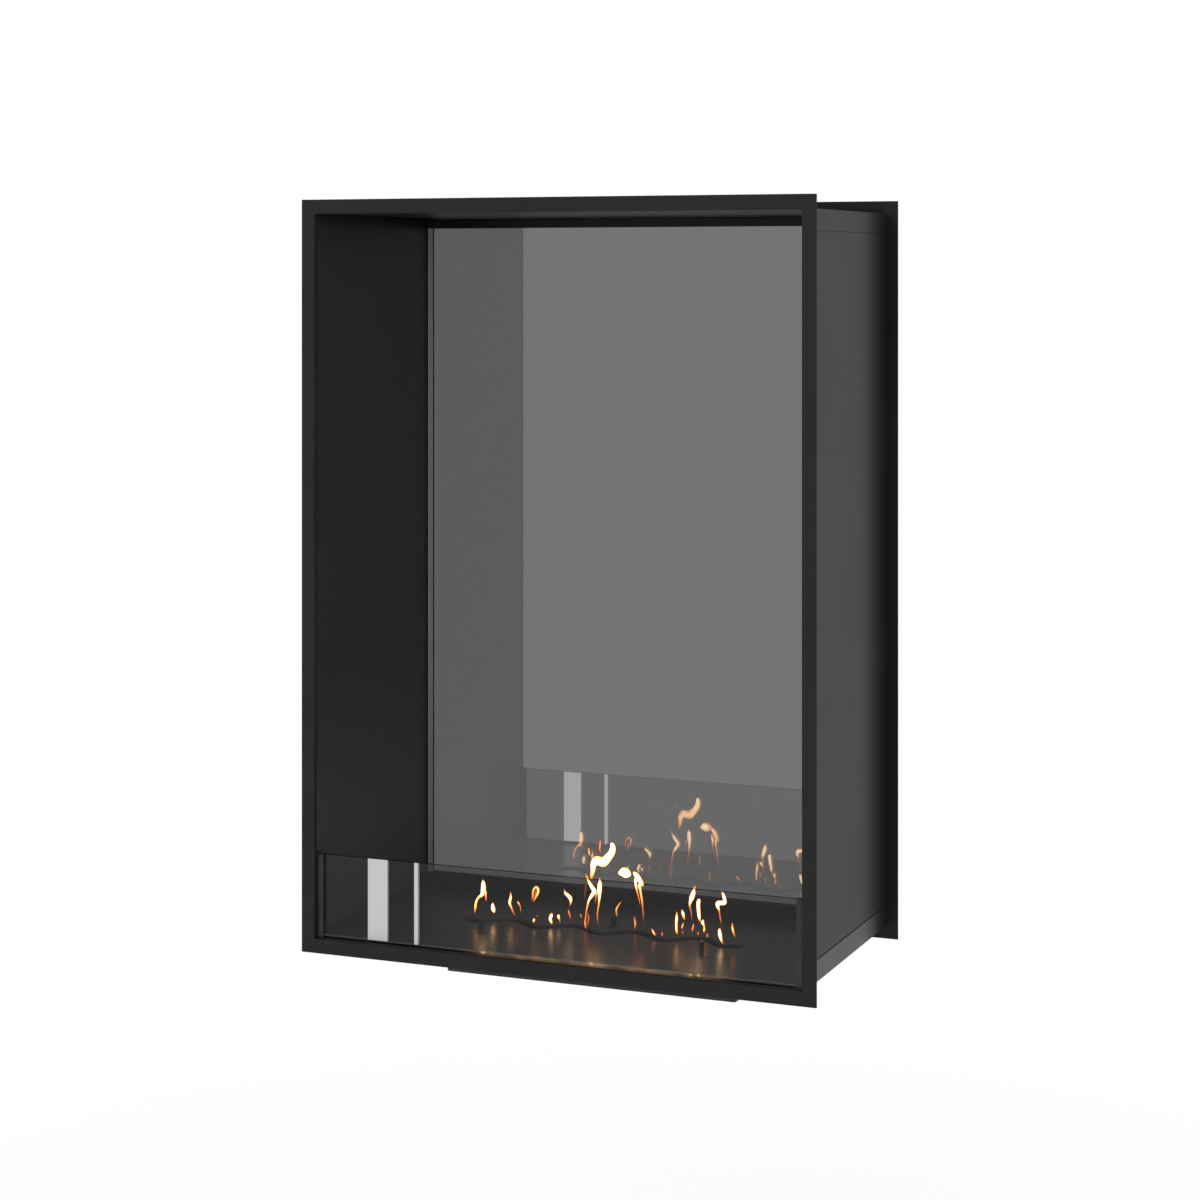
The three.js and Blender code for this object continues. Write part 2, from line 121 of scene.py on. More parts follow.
def opaque(colour: Colour) -> tuple[float, float, float, float]:
    """Gives a colour the alpha that its socket wants."""
    return (*colour, 1.0)


def scaled(colour: Colour, share: float) -> Colour:
    """Makes a colour lighter or darker."""
    red, green, blue = colour
    return share * red, share * green, share * blue


def operators(operation: str) -> tuple[Operator, Operator]:
    """Makes an operator and its reflected form, which both add a Math node.

    Args:
        operation: The Math node's operation.

    Returns:
        The methods for a number on the right and for one on the left.
    """

    def plain(signal: "Signal", other: Operand) -> "Signal":
        """Takes the other number second."""
        return signal.bench.math(operation, signal, other)

    def reflected(signal: "Signal", other: Operand) -> "Signal":
        """Takes the other number first."""
        return signal.bench.math(operation, other, signal)

    return plain, reflected


class Signal:
    """What leaves a node by one socket; Python's operators on a number add Math nodes."""

    def __init__(self, bench: "NodeBench", socket: bpy.types.NodeSocket) -> None:
        """Keeps the bench that made the node and the socket that the signal leaves by."""
        self.bench = bench
        self.socket = socket

    def math(self, operation: str, *others: Operand) -> "Signal":
        """Adds a Math node whose first number is this one."""
        return self.bench.math(operation, self, *others)

    __add__, __radd__ = operators("ADD")
    __sub__, __rsub__ = operators("SUBTRACT")
    __mul__, __rmul__ = operators("MULTIPLY")
    __truediv__, __rtruediv__ = operators("DIVIDE")

    def __abs__(self) -> "Signal":
        """Drops the sign."""
        return self.math("ABSOLUTE")

    def above(self, limit: float) -> "Signal":
        """Is 1 where the number is over a limit, and 0 elsewhere."""
        return self.math("GREATER_THAN", limit)

    def between(self, low: float, high: float) -> "Signal":
        """Is 1 between two limits, and 0 elsewhere."""
        return self.above(low) * (1.0 - self.above(high))

    def largest(self, other: Operand) -> "Signal":
        """Is the larger of two numbers."""
        return self.math("MAXIMUM", other)

    def spread(self, source: Limits, target: Limits = (0.0, 1.0)) -> "Signal":
        """Maps a range onto another with soft ends.

        Args:
            source: The range that the number comes in.
            target: The range that it leaves in.

        Returns:
            The mapped number.
        """
        ends = zip(("From Min", "From Max", "To Min", "To Max"), (*source, *target))
        settings = {"interpolation_type": "SMOOTHSTEP"}
        return self.bench.signal("ShaderNodeMapRange", settings, {"Value": self, **dict(ends)})


class NodeBench:
    """Makes the nodes of one tree."""

    def __init__(self, tree: bpy.types.NodeTree) -> None:
        """Starts from an empty tree."""
        self.tree = tree
        tree.nodes.clear()

    def node(
        self, kind: str, settings: Settings | None = None, sockets: Sockets | None = None
    ) -> bpy.types.Node:
        """Makes a node of any type.

        Args:
            kind: The node's type.
            settings: Properties that are set first; "stops" fills a colour ramp.
            sockets: Values or signals for its inputs, by name or place.

        Returns:
            The node.
        """
        made = self.tree.nodes.new(kind)
        for name, setting in (settings or {}).items():
            if name == "stops":
                self.fill_ramp(made.color_ramp, setting)
            else:
                setattr(made, name, setting)
        for key, given in (sockets or {}).items():
            if isinstance(given, Signal):
                self.tree.links.new(given.socket, made.inputs[key])
            else:
                made.inputs[key].default_value = given
        return made

    def signal(
        self,
        kind: str,
        settings: Settings | None = None,
        sockets: Sockets | None = None,
        output: Union[str, int] = 0,
    ) -> Signal:
        """Makes a node and gives one of its outputs.

        Args:
            kind: The node's type.
            settings: Properties that are set first.
            sockets: Values or signals for its inputs.
            output: The output's name or place.

        Returns:
            The output as a signal.
        """
        return Signal(self, self.node(kind, settings, sockets).outputs[output])

    @staticmethod
    def fill_ramp(ramp: bpy.types.ColorRamp, stops: Sequence[tuple[float, Colour]]) -> None:
        """Sets a ramp's stops.

        Args:
            ramp: A ramp with its first two stops.
            stops: Places and colours, from low to high.
        """
        made = len(ramp.elements)
        for index, (place, colour) in enumerate(stops):
            stop = ramp.elements[index] if index < made else ramp.elements.new(place)
            stop.position = place
            stop.color = opaque(colour)

    def math(self, operation: str, *operands: Operand) -> Signal:
        """Adds a Math node that takes the operands in order."""
        return self.signal("ShaderNodeMath", {"operation": operation}, dict(enumerate(operands)))

    @cached_property
    def place(self) -> Signal:
        """The object coordinates."""
        return self.signal("ShaderNodeTexCoord", output="Object")

    @cached_property
    def facing(self) -> Signal:
        """How far the surface looks to the rear, from -1 to 1."""
        return self.axes(self.signal("ShaderNodeNewGeometry", output="Normal"))[1]

    def axes(self, vector: Signal) -> tuple[Signal, Signal, Signal]:
        """Splits a vector into its three numbers."""
        x, y, z = self.node("ShaderNodeSeparateXYZ", sockets={0: vector}).outputs
        return Signal(self, x), Signal(self, y), Signal(self, z)

    def noise(self, pattern: Pattern) -> Signal:
        """Gives cloudy noise from 0 to 1 over the piece.

        Args:
            pattern: Its scale, octaves and stretch.

        Returns:
            The noise.
        """
        vector = self.place
        if pattern.stretch:
            sockets = {0: vector, 1: pattern.stretch}
            vector = self.signal("ShaderNodeVectorMath", {"operation": "MULTIPLY"}, sockets)
        sockets = {"Vector": vector, "Scale": pattern.scale, "Detail": pattern.detail}
        return self.signal("ShaderNodeTexNoise", None, {**sockets, "Roughness": pattern.rough}, "Fac")

    def blend(self, share: Operand, first: Paint, second: Paint) -> Signal:
        """Mixes two colours.

        Args:
            share: How much of the second colour shows.
            first: The colour at 0.
            second: The colour at 1.

        Returns:
            The mixed colour.
        """
        low, high = [end if isinstance(end, Signal) else opaque(end) for end in (first, second)]
        settings = {"data_type": "RGBA", "clamp_factor": True}
        # The colour sockets share their names with the node's others, so they are given by place.
        return self.signal("ShaderNodeMix", settings, {0: share, 6: low, 7: high}, 2)

    def relief(self, height: Signal, depth: float) -> Signal:
        """Turns a height from 0 to 1, which stands for a depth in metres, into a normal."""
        sockets = {"Strength": 1.0, "Distance": depth, "Height": height}
        return self.signal("ShaderNodeBump", None, sockets, "Normal")

    def principled(self, sockets: Sockets) -> Signal:
        """Adds a Principled shader."""
        return self.signal("ShaderNodeBsdfPrincipled", None, sockets)

    def layered(self, share: Signal, first: Signal, second: Signal) -> Signal:
        """Mixes two shaders, the second by its share."""
        return self.signal("ShaderNodeMixShader", None, {0: share, 1: first, 2: second})

    def seen(self) -> Signal:
        """Tells which rays see the studio's white.

        Returns:
            1 for camera, glossy and transmission rays, and 0 for others.
        """
        rays = self.node("ShaderNodeLightPath").outputs
        camera, glossy, through = [
            Signal(self, rays[f"Is {kind} Ray"]) for kind in ("Camera", "Glossy", "Transmission")
        ]
        return camera.largest(glossy).largest(through)


@dataclass(frozen=True)
class Finish(ABC):
    """A procedural material."""

    see_through: ClassVar[bool] = False
    name: str

    def material(self) -> bpy.types.Material:
        """Makes the node material.

        Returns:
            The material, with the finish's shader led to its output.
        """
        made = bpy.data.materials.new(self.name)
        made.use_nodes = True
        if self.see_through:
            made.surface_render_method = "BLENDED"
        bench = NodeBench(made.node_tree)
        bench.node("ShaderNodeOutputMaterial", sockets={"Surface": self.shader(bench)})
        return made

    @abstractmethod
    def shader(self, bench: NodeBench) -> Signal:
        """Adds the finish's own nodes.

        Args:
            bench: The material's bench.

        Returns:
            The shader that the output shows.
        """


@dataclass(frozen=True)
class Streaks:
    """Faint light streaks that brushing leaves in a black coat."""

    limits: Limits = (0.35, 0.8)
    share: float = 0.05
    lightness: float = 3.0

    def over(self, bench: NodeBench, grain: Signal, colour: Paint, base: Colour) -> Signal:
        """Rubs the streaks into a colour.

        Args:
            bench: The material's bench.
            grain: The brushing.
            colour: The coat's colour.
            base: The black that the streaks are a lighter shade of.

        Returns:
            The streaked colour.
        """
        streak = scaled(base, self.lightness)
        return bench.blend(grain.spread(self.limits) * self.share, colour, streak)


@dataclass(frozen=True)
class SatinPaint(Finish):
    """Heat-resistant satin paint on sheet steel, with a faint orange peel and cloudy sheen."""

    base: Colour
    worn: Colour
    roughness: float
    sheen_swing: float = 0.05
    speck_swing: float = 0.03
    specular: float = 0.12
    clouds: Pattern = Pattern(5.0, 4.0, 0.6)
    specks: Pattern = Pattern(260.0, 3.0, 0.7)
    speck_limits: Limits = (0.35, 0.75)
    cloud_share: float = 0.7
    wear_limits: Limits = (0.3, 0.75)
    peel: Pattern = Pattern(620.0, 2.0)
    peel_depth: float = 0.00003
    dents: Pattern = Pattern(3.2, 1.0)
    dent_share: float = 0.25
    dent_depth: float = 0.0006
    # Painted shade: these fields darken the paint and dull its sheen in corners and seams, by ambient
    # occlusion.
    shade_reach: float = 0.03
    shade_samples: int = 8
    corner_shade: float = 0.35
    shade_limits: Limits = (0.35, 0.95)
    shade_roughness: float = 0.55
    shade_swing: float = 0.1
    shade_specular: float = 0.02
    # Painted light: a lighter colour that the paint takes low down.
    painted_low_light: Colour | None = None
    low_light_reach: Limits = (0.05, 0.42)
    low_light_sway: float = 0.06
    # Painted shade towards the rear: its range of Y, and the share of open paint left there.
    painted_rear_shade: Limits | None = None
    sheen_left: float = 0.25
    clear_coat: float = 0.0
    coat_roughness: float = 0.06

    def shader(self, bench: NodeBench) -> Signal:
        """Builds the paint: painted shade in corners, and if asked painted light low down and painted shade
        to the rear.

        Args:
            bench: The material's bench.

        Returns:
            The paint's shader.
        """
        _, y, z = bench.axes(bench.place)
        cloud = bench.noise(self.clouds)
        speck = bench.noise(self.specks).spread(self.speck_limits)
        wear = cloud * self.cloud_share + speck * (1.0 - self.cloud_share)
        colour = bench.blend(wear.spread(self.wear_limits), self.base, self.worn)
        # Painted light: the paint turns lighter low down.
        if self.painted_low_light:
            recoloured = (z + (cloud - 0.5) * self.low_light_sway).spread(self.low_light_reach, (1.0, 0.0))
            colour = bench.blend(recoloured, colour, self.painted_low_light)
        # Painted shade: ambient occlusion darkens corners and seams and dulls their sheen.
        settings, reach = {"samples": self.shade_samples}, {"Distance": self.shade_reach}
        occlusion = bench.signal("ShaderNodeAmbientOcclusion", settings, reach, "AO")
        clear = occlusion.spread(self.shade_limits)
        # Painted shade: the paint darkens towards the rear if asked.
        if self.painted_rear_shade:
            clear = clear * y.spread(self.painted_rear_shade, (1.0, self.sheen_left))
        sheen = (cloud - 0.5) * (2.0 * self.sheen_swing) + (speck - 0.5) * self.speck_swing
        height = bench.noise(self.peel) * (self.peel_depth / self.dent_depth)
        open_paint = {
            "Base Color": colour,
            "Roughness": sheen + self.roughness,
            "Specular IOR Level": self.specular,
            "Coat Weight": self.clear_coat,
            "Coat Roughness": self.coat_roughness,
            "Normal": bench.relief(height + bench.noise(self.dents) * self.dent_share, self.dent_depth),
        }
        shaded_paint = {
            "Base Color": bench.blend(cloud, scaled(self.base, self.corner_shade), self.base),
            "Roughness": speck * self.shade_swing + self.shade_roughness,
            "Specular IOR Level": self.shade_specular,
        }
        return bench.layered(clear, bench.principled(shaded_paint), bench.principled(open_paint))


@dataclass(frozen=True)
class HearthSteel(Finish):
    """Satin black hearth plate, brushed lightly along the burner and heat-tinted near the slot."""

    base: Colour
    tint: Colour
    roughness: float
    specular: float
    grain: Pattern = Pattern(900.0, 3.0, 0.6, Grain.ALONG_X.value)
    grain_depth: float = 0.0000015
    grain_swing: float = 0.03
    streaks: Streaks = Streaks()
    clouds: Pattern = Pattern(9.0, 4.0, 0.62)
    cloud_swing: float = 0.05
    tint_sway: float = 0.05
    tint_reach: Limits = (0.02, 0.085)
    tint_ends: Limits = (0.21, 0.26)
    tint_share: float = 0.75

    def shader(self, bench: NodeBench) -> Signal:
        """Builds the plate's finish.

        Args:
            bench: The material's bench.

        Returns:
            The plate's shader.
        """
        x, y, _ = bench.axes(bench.place)
        grain = bench.noise(self.grain)
        cloud = bench.noise(self.clouds)
        near = (abs(y) + (cloud - 0.5) * self.tint_sway).spread(self.tint_reach, (1.0, 0.0))
        recoloured = near * abs(x).spread(self.tint_ends, (1.0, 0.0)) * self.tint_share
        colour = bench.blend(recoloured, self.base, self.tint)
        sheen = (grain - 0.5) * self.grain_swing + (cloud - 0.5) * self.cloud_swing
        sockets = {
            "Base Color": self.streaks.over(bench, grain, colour, self.base),
            "Roughness": sheen + self.roughness,
            "Specular IOR Level": self.specular,
            "Normal": bench.relief(grain, self.grain_depth),
        }
        return bench.principled(sockets)


@dataclass(frozen=True)
class BrushedMetal(Finish):
    """Drawn or rolled metal with a fine directional grain, stains and lighter rubbed streaks."""

    base: Colour
    light: Colour
    metallic: float
    roughness: float
    grain: Grain
    specular: float = 0.5
    brushing: Pattern = Pattern(1400.0, 3.0, 0.65)
    grain_share: float = 0.6
    grain_swing: float = 0.16
    stains: Pattern = Pattern(14.0, 4.0, 0.6)
    stain_swing: float = 0.12
    rub_limits: Limits = (0.32, 0.72)
    grain_depth: float = 0.00002

    def shader(self, bench: NodeBench) -> Signal:
        """Builds the metal.

        Args:
            bench: The material's bench.

        Returns:
            The metal's shader.
        """
        grain = bench.noise(replace(self.brushing, stretch=self.grain.value))
        stain = bench.noise(self.stains)
        rubbed = grain * self.grain_share + stain * (1.0 - self.grain_share)
        sheen = (grain - 0.5) * self.grain_swing + (stain - 0.5) * self.stain_swing
        sockets = {
            "Base Color": bench.blend(rubbed.spread(self.rub_limits), self.base, self.light),
            "Roughness": sheen + self.roughness,
            "Metallic": self.metallic,
            "Specular IOR Level": self.specular,
            "Normal": bench.relief(grain, self.grain_depth),
        }
        return bench.principled(sockets)


@dataclass(frozen=True)
class TankCoat(Finish):
    """Fuel tank steel: painted black outside and over its rim, bare and brushed where the fuel stands."""

    paint: Colour
    steel: Colour
    stained: Colour
    roughness: float = 0.3
    specular: float = 0.34
    metallic: float = 0.9
    bare_half: Limits = (0.2262, 0.0552)
    bare_top: float = -0.0005
    grain: Pattern = Pattern(1200.0, 3.0, 0.65, Grain.ALONG_X.value)
    grain_depth: float = 0.00003
    grain_swing: float = 0.14
    streaks: Streaks = Streaks()
    stains: Pattern = Pattern(18.0, 4.0, 0.6)
    stain_swing: float = 0.05
    stain_limits: Limits = (0.4, 0.75)

    def shader(self, bench: NodeBench) -> Signal:
        """Builds the two-part finish.

        Args:
            bench: The material's bench.

        Returns:
            The tank's shader.
        """
        x, y, z = bench.axes(bench.place)
        half_x, half_y = self.bare_half
        inside = (1.0 - abs(x).above(half_x)) * (1.0 - abs(y).above(half_y))
        bare = inside * (1.0 - z.above(self.bare_top))
        grain = bench.noise(self.grain)
        stain = bench.noise(self.stains)
        brushed = bench.blend(stain.spread(self.stain_limits), self.steel, self.stained)
        painted = self.streaks.over(bench, grain, self.paint, self.paint)
        sheen = (stain - 0.5) * self.stain_swing + bare * (grain * self.grain_swing)
        sockets = {
            "Base Color": bench.blend(bare, painted, brushed),
            "Roughness": sheen + self.roughness,
            "Metallic": bare * self.metallic,
            "Specular IOR Level": self.specular,
            "Normal": bench.relief(grain * bare, self.grain_depth),
        }
        return bench.principled(sockets)


@dataclass(frozen=True)
class TintedGlass(Finish):
    """Flat tempered glass with black ground edges and faint wipe marks on its faces."""

    see_through: ClassVar[bool] = True
    cover: float
    ior: float
    face_limit: float = 0.6
    wipes: Pattern = Pattern(22.0, 5.0, 0.6, (1.0, 1.0, 0.25))
    wipe_limits: Limits = (0.45, 0.8)
    polish: Limits = (0.012, 0.035)
    edge: Colour = (0.002, 0.002, 0.002)
    edge_grit: Pattern = Pattern(700.0, 3.0)
    edge_roughness: float = 0.5
    edge_swing: float = 0.2
    edge_specular: float = 0.04

    def shader(self, bench: NodeBench) -> Signal:
        """Builds the faces and the ground edges between them.

        Args:
            bench: The material's bench.

        Returns:
            The glass's shader.
        """
        rough = bench.noise(self.wipes).spread(self.wipe_limits, self.polish)
        pane = bench.principled({"IOR": self.ior, **self.marks(bench, rough)})
        grit = bench.noise(self.edge_grit)
        ground = {
            "Base Color": bench.blend(grit, self.edge, scaled(self.edge, 2.0)),
            "Roughness": grit * self.edge_swing + self.edge_roughness,
            "Specular IOR Level": self.edge_specular,
        }
        return bench.layered(abs(bench.facing).above(self.face_limit), bench.principled(ground), pane)

    @abstractmethod
    def marks(self, bench: NodeBench, rough: Signal) -> dict[str, Any]:
        """Marks the glass's faces.

        Args:
            bench: The material's bench.
            rough: The wiped faces' roughness.

        Returns:
            Values and signals for the faces' shader.
        """


@dataclass(frozen=True)
class BorderedGlass(TintedGlass):
    """Tinted glass with a grey border on its inner face, and a painted highlight along its arrises."""

    border: float = 0.3633
    border_tint: Colour = (0.26, 0.26, 0.26)
    border_cover: float = 0.95
    border_roughness: float = 0.3
    arris: float = 0.3703
    # Painted highlight on the arrises.
    arris_highlight: Colour = (0.42, 0.42, 0.42)

    def marks(self, bench: NodeBench, rough: Signal) -> dict[str, Any]:
        """Draws the border along the left and right edges, with a painted highlight on its outermost strip.

        Args:
            bench: The material's bench.
            rough: The wiped faces' roughness.

        Returns:
            Values and signals for the faces' shader.
        """
        across = abs(bench.axes(bench.place)[0])
        border = across.above(self.border) * (1.0 - bench.facing.above(-self.face_limit))
        # Painted highlight: the border's outermost strip is lighter.
        tint = bench.blend(across.above(self.arris), self.border_tint, self.arris_highlight)
        return {
            "Base Color": bench.blend(border, BLACK, tint),
            "Roughness": rough + border * self.border_roughness,
            "Alpha": (border * self.border_cover).largest(self.cover),
        }


@dataclass(frozen=True)
class FrostedGlass(TintedGlass):
    """Tinted glass with two bands of frost that glow with painted light on their inner face, and a darker
    foot with a painted glow of the flames' warm light.
    """

    bands: tuple[Limits, Limits] = ((-0.2906, -0.2587), (-0.2159, -0.2095))
    frost: Colour = (0.52, 0.52, 0.52)
    # Painted light: how brightly the bands' inner face glows.
    painted_band_glow: float = 6.9
    frost_cover: float = 0.96
    frost_roughness: float = 0.5
    crystals: Pattern = Pattern(900.0, 2.0)
    crystal_depth: float = 0.000004
    foot: float = 0.0066
    foot_cover: float = 0.6
    # A painted highlight line over the foot: its height and how pale it is.
    highlight_line: float = 0.0009
    highlight_line_share: float = 0.35
    # Painted light: the flames' warm glow on the foot, where it is centred and how far it reaches.
    painted_flame_glow: Colour = (0.03, 0.018, 0.009)
    flame_glow_middle: float = 0.065
    flame_glow_reach: Limits = (0.11, 0.22)
    lumps: Pattern = Pattern(24.0, 1.0, stretch=(1.0, 0.0, 0.0))
    lump_limits: Limits = (0.35, 0.65)
    lump_shares: Limits = (0.3, 1.0)

    def marks(self, bench: NodeBench, rough: Signal) -> dict[str, Any]:
        """Frosts the bands and a painted highlight line over the foot, and paints a glow on the bands' inner
        face and the flames' warm glow on the foot.

        Args:
            bench: The material's bench.
            rough: The wiped faces' roughness.

        Returns:
            Values and signals for the faces' shader.
        """
        x, _, z = bench.axes(bench.place)
        foot = 1.0 - z.above(self.foot)
        # Painted highlight: a frosted line along the foot's top.
        line = z.between(self.foot, self.foot + self.highlight_line)
        wide, narrow = [x.between(*band) for band in self.bands]
        frost_and_highlight = ((wide + narrow) * (1.0 - foot)).largest(line * self.highlight_line_share)
        # Painted light: the flames' warm glow on the foot, in patches.
        lumps = bench.noise(self.lumps).spread(self.lump_limits, self.lump_shares)
        flame_glow_share = foot * abs(x - self.flame_glow_middle).spread(self.flame_glow_reach, (1.0, 0.0)) * lumps
        foot_glow = bench.blend(flame_glow_share, BLACK, self.painted_flame_glow)
        # Painted light: the bands glow on their inner face.
        outside = 1.0 - bench.signal("ShaderNodeNewGeometry", output="Backfacing")
        painted_glow_share = frost_and_highlight * bench.facing.above(self.face_limit) * outside
        cover = (foot * self.foot_cover).largest(self.cover)
        return {
            "Base Color": bench.blend(frost_and_highlight, BLACK, self.frost),
            "Roughness": rough + frost_and_highlight * self.frost_roughness,
            "Alpha": cover.largest(frost_and_highlight * self.frost_cover),
            "Emission Color": bench.blend(painted_glow_share, foot_glow, self.frost),
            "Emission Strength": self.painted_band_glow,
            "Normal": bench.relief(bench.noise(self.crystals) * frost_and_highlight, self.crystal_depth),
        }


@dataclass(frozen=True)
class SealRubber(Finish):
    """Matt black seal rubber with a bloom of dust."""

    base: Colour
    bloom: Colour
    roughness: float = 0.82
    dust_swing: float = 0.1
    dust: Pattern = Pattern(90.0, 4.0, 0.65)
    dust_limits: Limits = (0.45, 0.8)
    ribs: Pattern = Pattern(1800.0, 1.0, stretch=Grain.ALONG_X.value)
    rib_share: float = 0.6
    rib_depth: float = 0.00008

    def shader(self, bench: NodeBench) -> Signal:
        """Builds the rubber.

        Args:
            bench: The material's bench.

        Returns:
            The rubber's shader.
        """
        dust = bench.noise(self.dust)
        height = bench.noise(self.ribs) * self.rib_share + dust * (1.0 - self.rib_share)
        sockets = {
            "Base Color": bench.blend(dust.spread(self.dust_limits), self.base, self.bloom),
            "Roughness": (dust - 0.5) * self.dust_swing + self.roughness,
            "Normal": bench.relief(height, self.rib_depth),
        }
        return bench.principled(sockets)


@dataclass(frozen=True)
class CeramicWool(Finish):
    """Pale ceramic fibre that has soaked up fuel in patches."""

    base: Colour
    soaked: Colour
    roughness: float = 0.93
    patches: Pattern = Pattern(16.0, 4.0, 0.6)
    patch_limits: Limits = (0.45, 0.7)
    patch_share: float = 0.8
    strands: Pattern = Pattern(900.0, 5.0, 0.7, (0.2, 1.0, 0.6))
    strand_depth: float = 0.0012
    strand_swing: float = 0.1

    def shader(self, bench: NodeBench) -> Signal:
        """Builds the wool.

        Args:
            bench: The material's bench.

        Returns:
            The wool's shader.
        """
        wet = bench.noise(self.patches).spread(self.patch_limits) * self.patch_share
        strands = bench.noise(self.strands)
        sockets = {
            "Base Color": bench.blend(wet, self.base, self.soaked),
            "Roughness": (strands - 0.5) * self.strand_swing + self.roughness,
            "Normal": bench.relief(strands, self.strand_depth),
        }
        return bench.principled(sockets)


@dataclass(frozen=True)
class FlameGlow(Finish):
    """Glowing gas, whose warmth attribute drives its colour and how much it covers."""

    see_through: ClassVar[bool] = True
    stops: tuple[tuple[float, Colour], ...]
    strength: float
    thick: Limits = (0.02, 0.4)
    flicker: Pattern = Pattern(130.0, 3.0)
    flicker_swing: float = 0.5
    least_flicker: float = 0.75

    def shader(self, bench: NodeBench) -> Signal:
        """Builds the glow.

        Args:
            bench: The material's bench.

        Returns:
            The gas's shader.
        """
        heat = bench.signal("ShaderNodeAttribute", {"attribute_name": "warmth"}, output="Fac")
        warmed = heat * (bench.noise(self.flicker) * self.flicker_swing + self.least_flicker)
        sockets = {
            "Base Color": opaque(BLACK),
            "Roughness": 1.0,
            "Specular IOR Level": 0.0,
            "Emission Color": bench.signal("ShaderNodeValToRGB", {"stops": self.stops}, {0: warmed}),
            "Emission Strength": self.strength,
            "Alpha": heat.spread(self.thick),
        }
        return bench.principled(sockets)


@dataclass(frozen=True)
class PaleCard(Finish):
    """Pale studio card that fades into the white surround and keeps a soft shadow."""

    light: Colour = (0.93, 0.93, 0.93)
    dim: Colour = (0.9, 0.9, 0.9)
    mottle: Pattern = Pattern(30.0, 3.0)
    mottle_share: float = 0.3
    fade: Limits = (0.5, 2.0)
    fade_shares: Limits = (0.9, 1.0)

    def shader(self, bench: NodeBench) -> Signal:
        """Builds the card.

        Args:
            bench: The material's bench.

        Returns:
            The card's shader.
        """
        x, y, _ = bench.axes(bench.place)
        share = (x * x + y * y).math("SQRT").spread(self.fade, self.fade_shares)
        colour = bench.blend(bench.noise(self.mottle) * self.mottle_share, self.light, self.dim)
        plain = bench.signal("ShaderNodeBsdfDiffuse", None, {"Color": colour})
        bright = bench.signal("ShaderNodeEmission", None, {"Color": opaque(WHITE), "Strength": 1.0})
        return bench.layered(bench.seen() * share, plain, bright)


PAINT = SatinPaint("black_satin_paint", (0.016, 0.016, 0.0162), (0.021, 0.021, 0.0213), 0.44, specular=0.075)
LINER = SatinPaint(
    "liner_satin_paint",
    (0.0125, 0.0125, 0.0128),
    (0.017, 0.017, 0.0173),
    0.36,
    specular=0.27,
    # Painted light lightens the liners low down.
    painted_low_light=(0.042, 0.042, 0.0423),
)
# The outer skins take painted shade towards the rear.
SKIN = replace(PAINT, name="skin_satin_paint", roughness=0.42, painted_rear_shade=(0.06, 0.16))
# The bottom tray takes painted shade towards the rear.
TRAY = SatinPaint(
    "tray_satin_paint",
    (0.018, 0.018, 0.0182),
    (0.024, 0.024, 0.0243),
    0.36,
    specular=0.16,
    painted_rear_shade=(0.06, 0.18),
)
GLOSS = SatinPaint(
    "gloss_black_enamel",
    (0.016, 0.014, 0.012),
    (0.026, 0.021, 0.017),
    0.3,
    sheen_swing=0.02,
    specular=1.0,
    peel_depth=0.000003,
    dent_depth=0.00005,
    # A short reach for the painted shade in the enamel's corners.
    shade_reach=0.004,
    clear_coat=1.0,
)
HEARTH = HearthSteel("hearth_plate", (0.019, 0.019, 0.0195), (0.027, 0.022, 0.019), 0.3, 0.34)
RAIL = BrushedMetal(
    "dark_anodised_rail", (0.008, 0.008, 0.0083), (0.018, 0.018, 0.0185), 0.2, 0.36, Grain.ALONG_X, 0.15
)
CHANNEL = BrushedMetal(
    "dark_anodised_channel", (0.016, 0.016, 0.0165), (0.036, 0.036, 0.037), 0.2, 0.38, Grain.ALONG_Z, 0.3
)
STRAP = BrushedMetal(
    "brushed_strap_steel", (0.05, 0.049, 0.047), (0.11, 0.107, 0.103), 0.8, 0.36, Grain.ALONG_X
)
KNOB = BrushedMetal("turned_knob_steel", (0.014, 0.014, 0.014), (0.035, 0.034, 0.033), 0.5, 0.3, Grain.NONE)
LIP = BrushedMetal("slot_lip_steel", (0.018, 0.018, 0.018), (0.05, 0.048, 0.046), 0.4, 0.3, Grain.ALONG_X)
SMOKED = BorderedGlass("smoked_rear_glass", 0.684, 1.92)
LOW_PANE = FrostedGlass("tinted_low_glass", 0.293, 1.56)
SEAL = SealRubber("seal_rubber", (0.006, 0.006, 0.006), (0.03, 0.03, 0.03))
TANK = TankCoat("tank_steel_coat", (0.019, 0.019, 0.0195), (0.32, 0.31, 0.3), (0.16, 0.14, 0.12))
WOOL = CeramicWool("ceramic_wool", (0.72, 0.7, 0.64), (0.5, 0.46, 0.36))
FLAME = FlameGlow(
    "flame_tongue",
    (
        (0.0, (0.01, 0.0015, 0.0003)),
        (0.2, (0.06, 0.01, 0.002)),
        (0.38, (0.2, 0.045, 0.007)),
        (0.55, (0.38, 0.11, 0.018)),
        (0.72, (0.62, 0.26, 0.06)),
        (0.88, (0.88, 0.54, 0.23)),
        (1.0, (1.0, 0.75, 0.46)),
    ),
    10.0,
)
CARD = PaleCard("pale_floor")


@cache
def coat(finish: Finish) -> bpy.types.Material:
    """Gives a finish's material, made once."""
    return finish.material()


def dressed(obj: bpy.types.Object, finish: Finish) -> bpy.types.Object:
    """Gives an object one finish in place of any other.

    Args:
        obj: The object.
        finish: What it is coated with.

    Returns:
        The same object.
    """
    obj.data.materials.clear()
    obj.data.materials.append(coat(finish))
    return obj


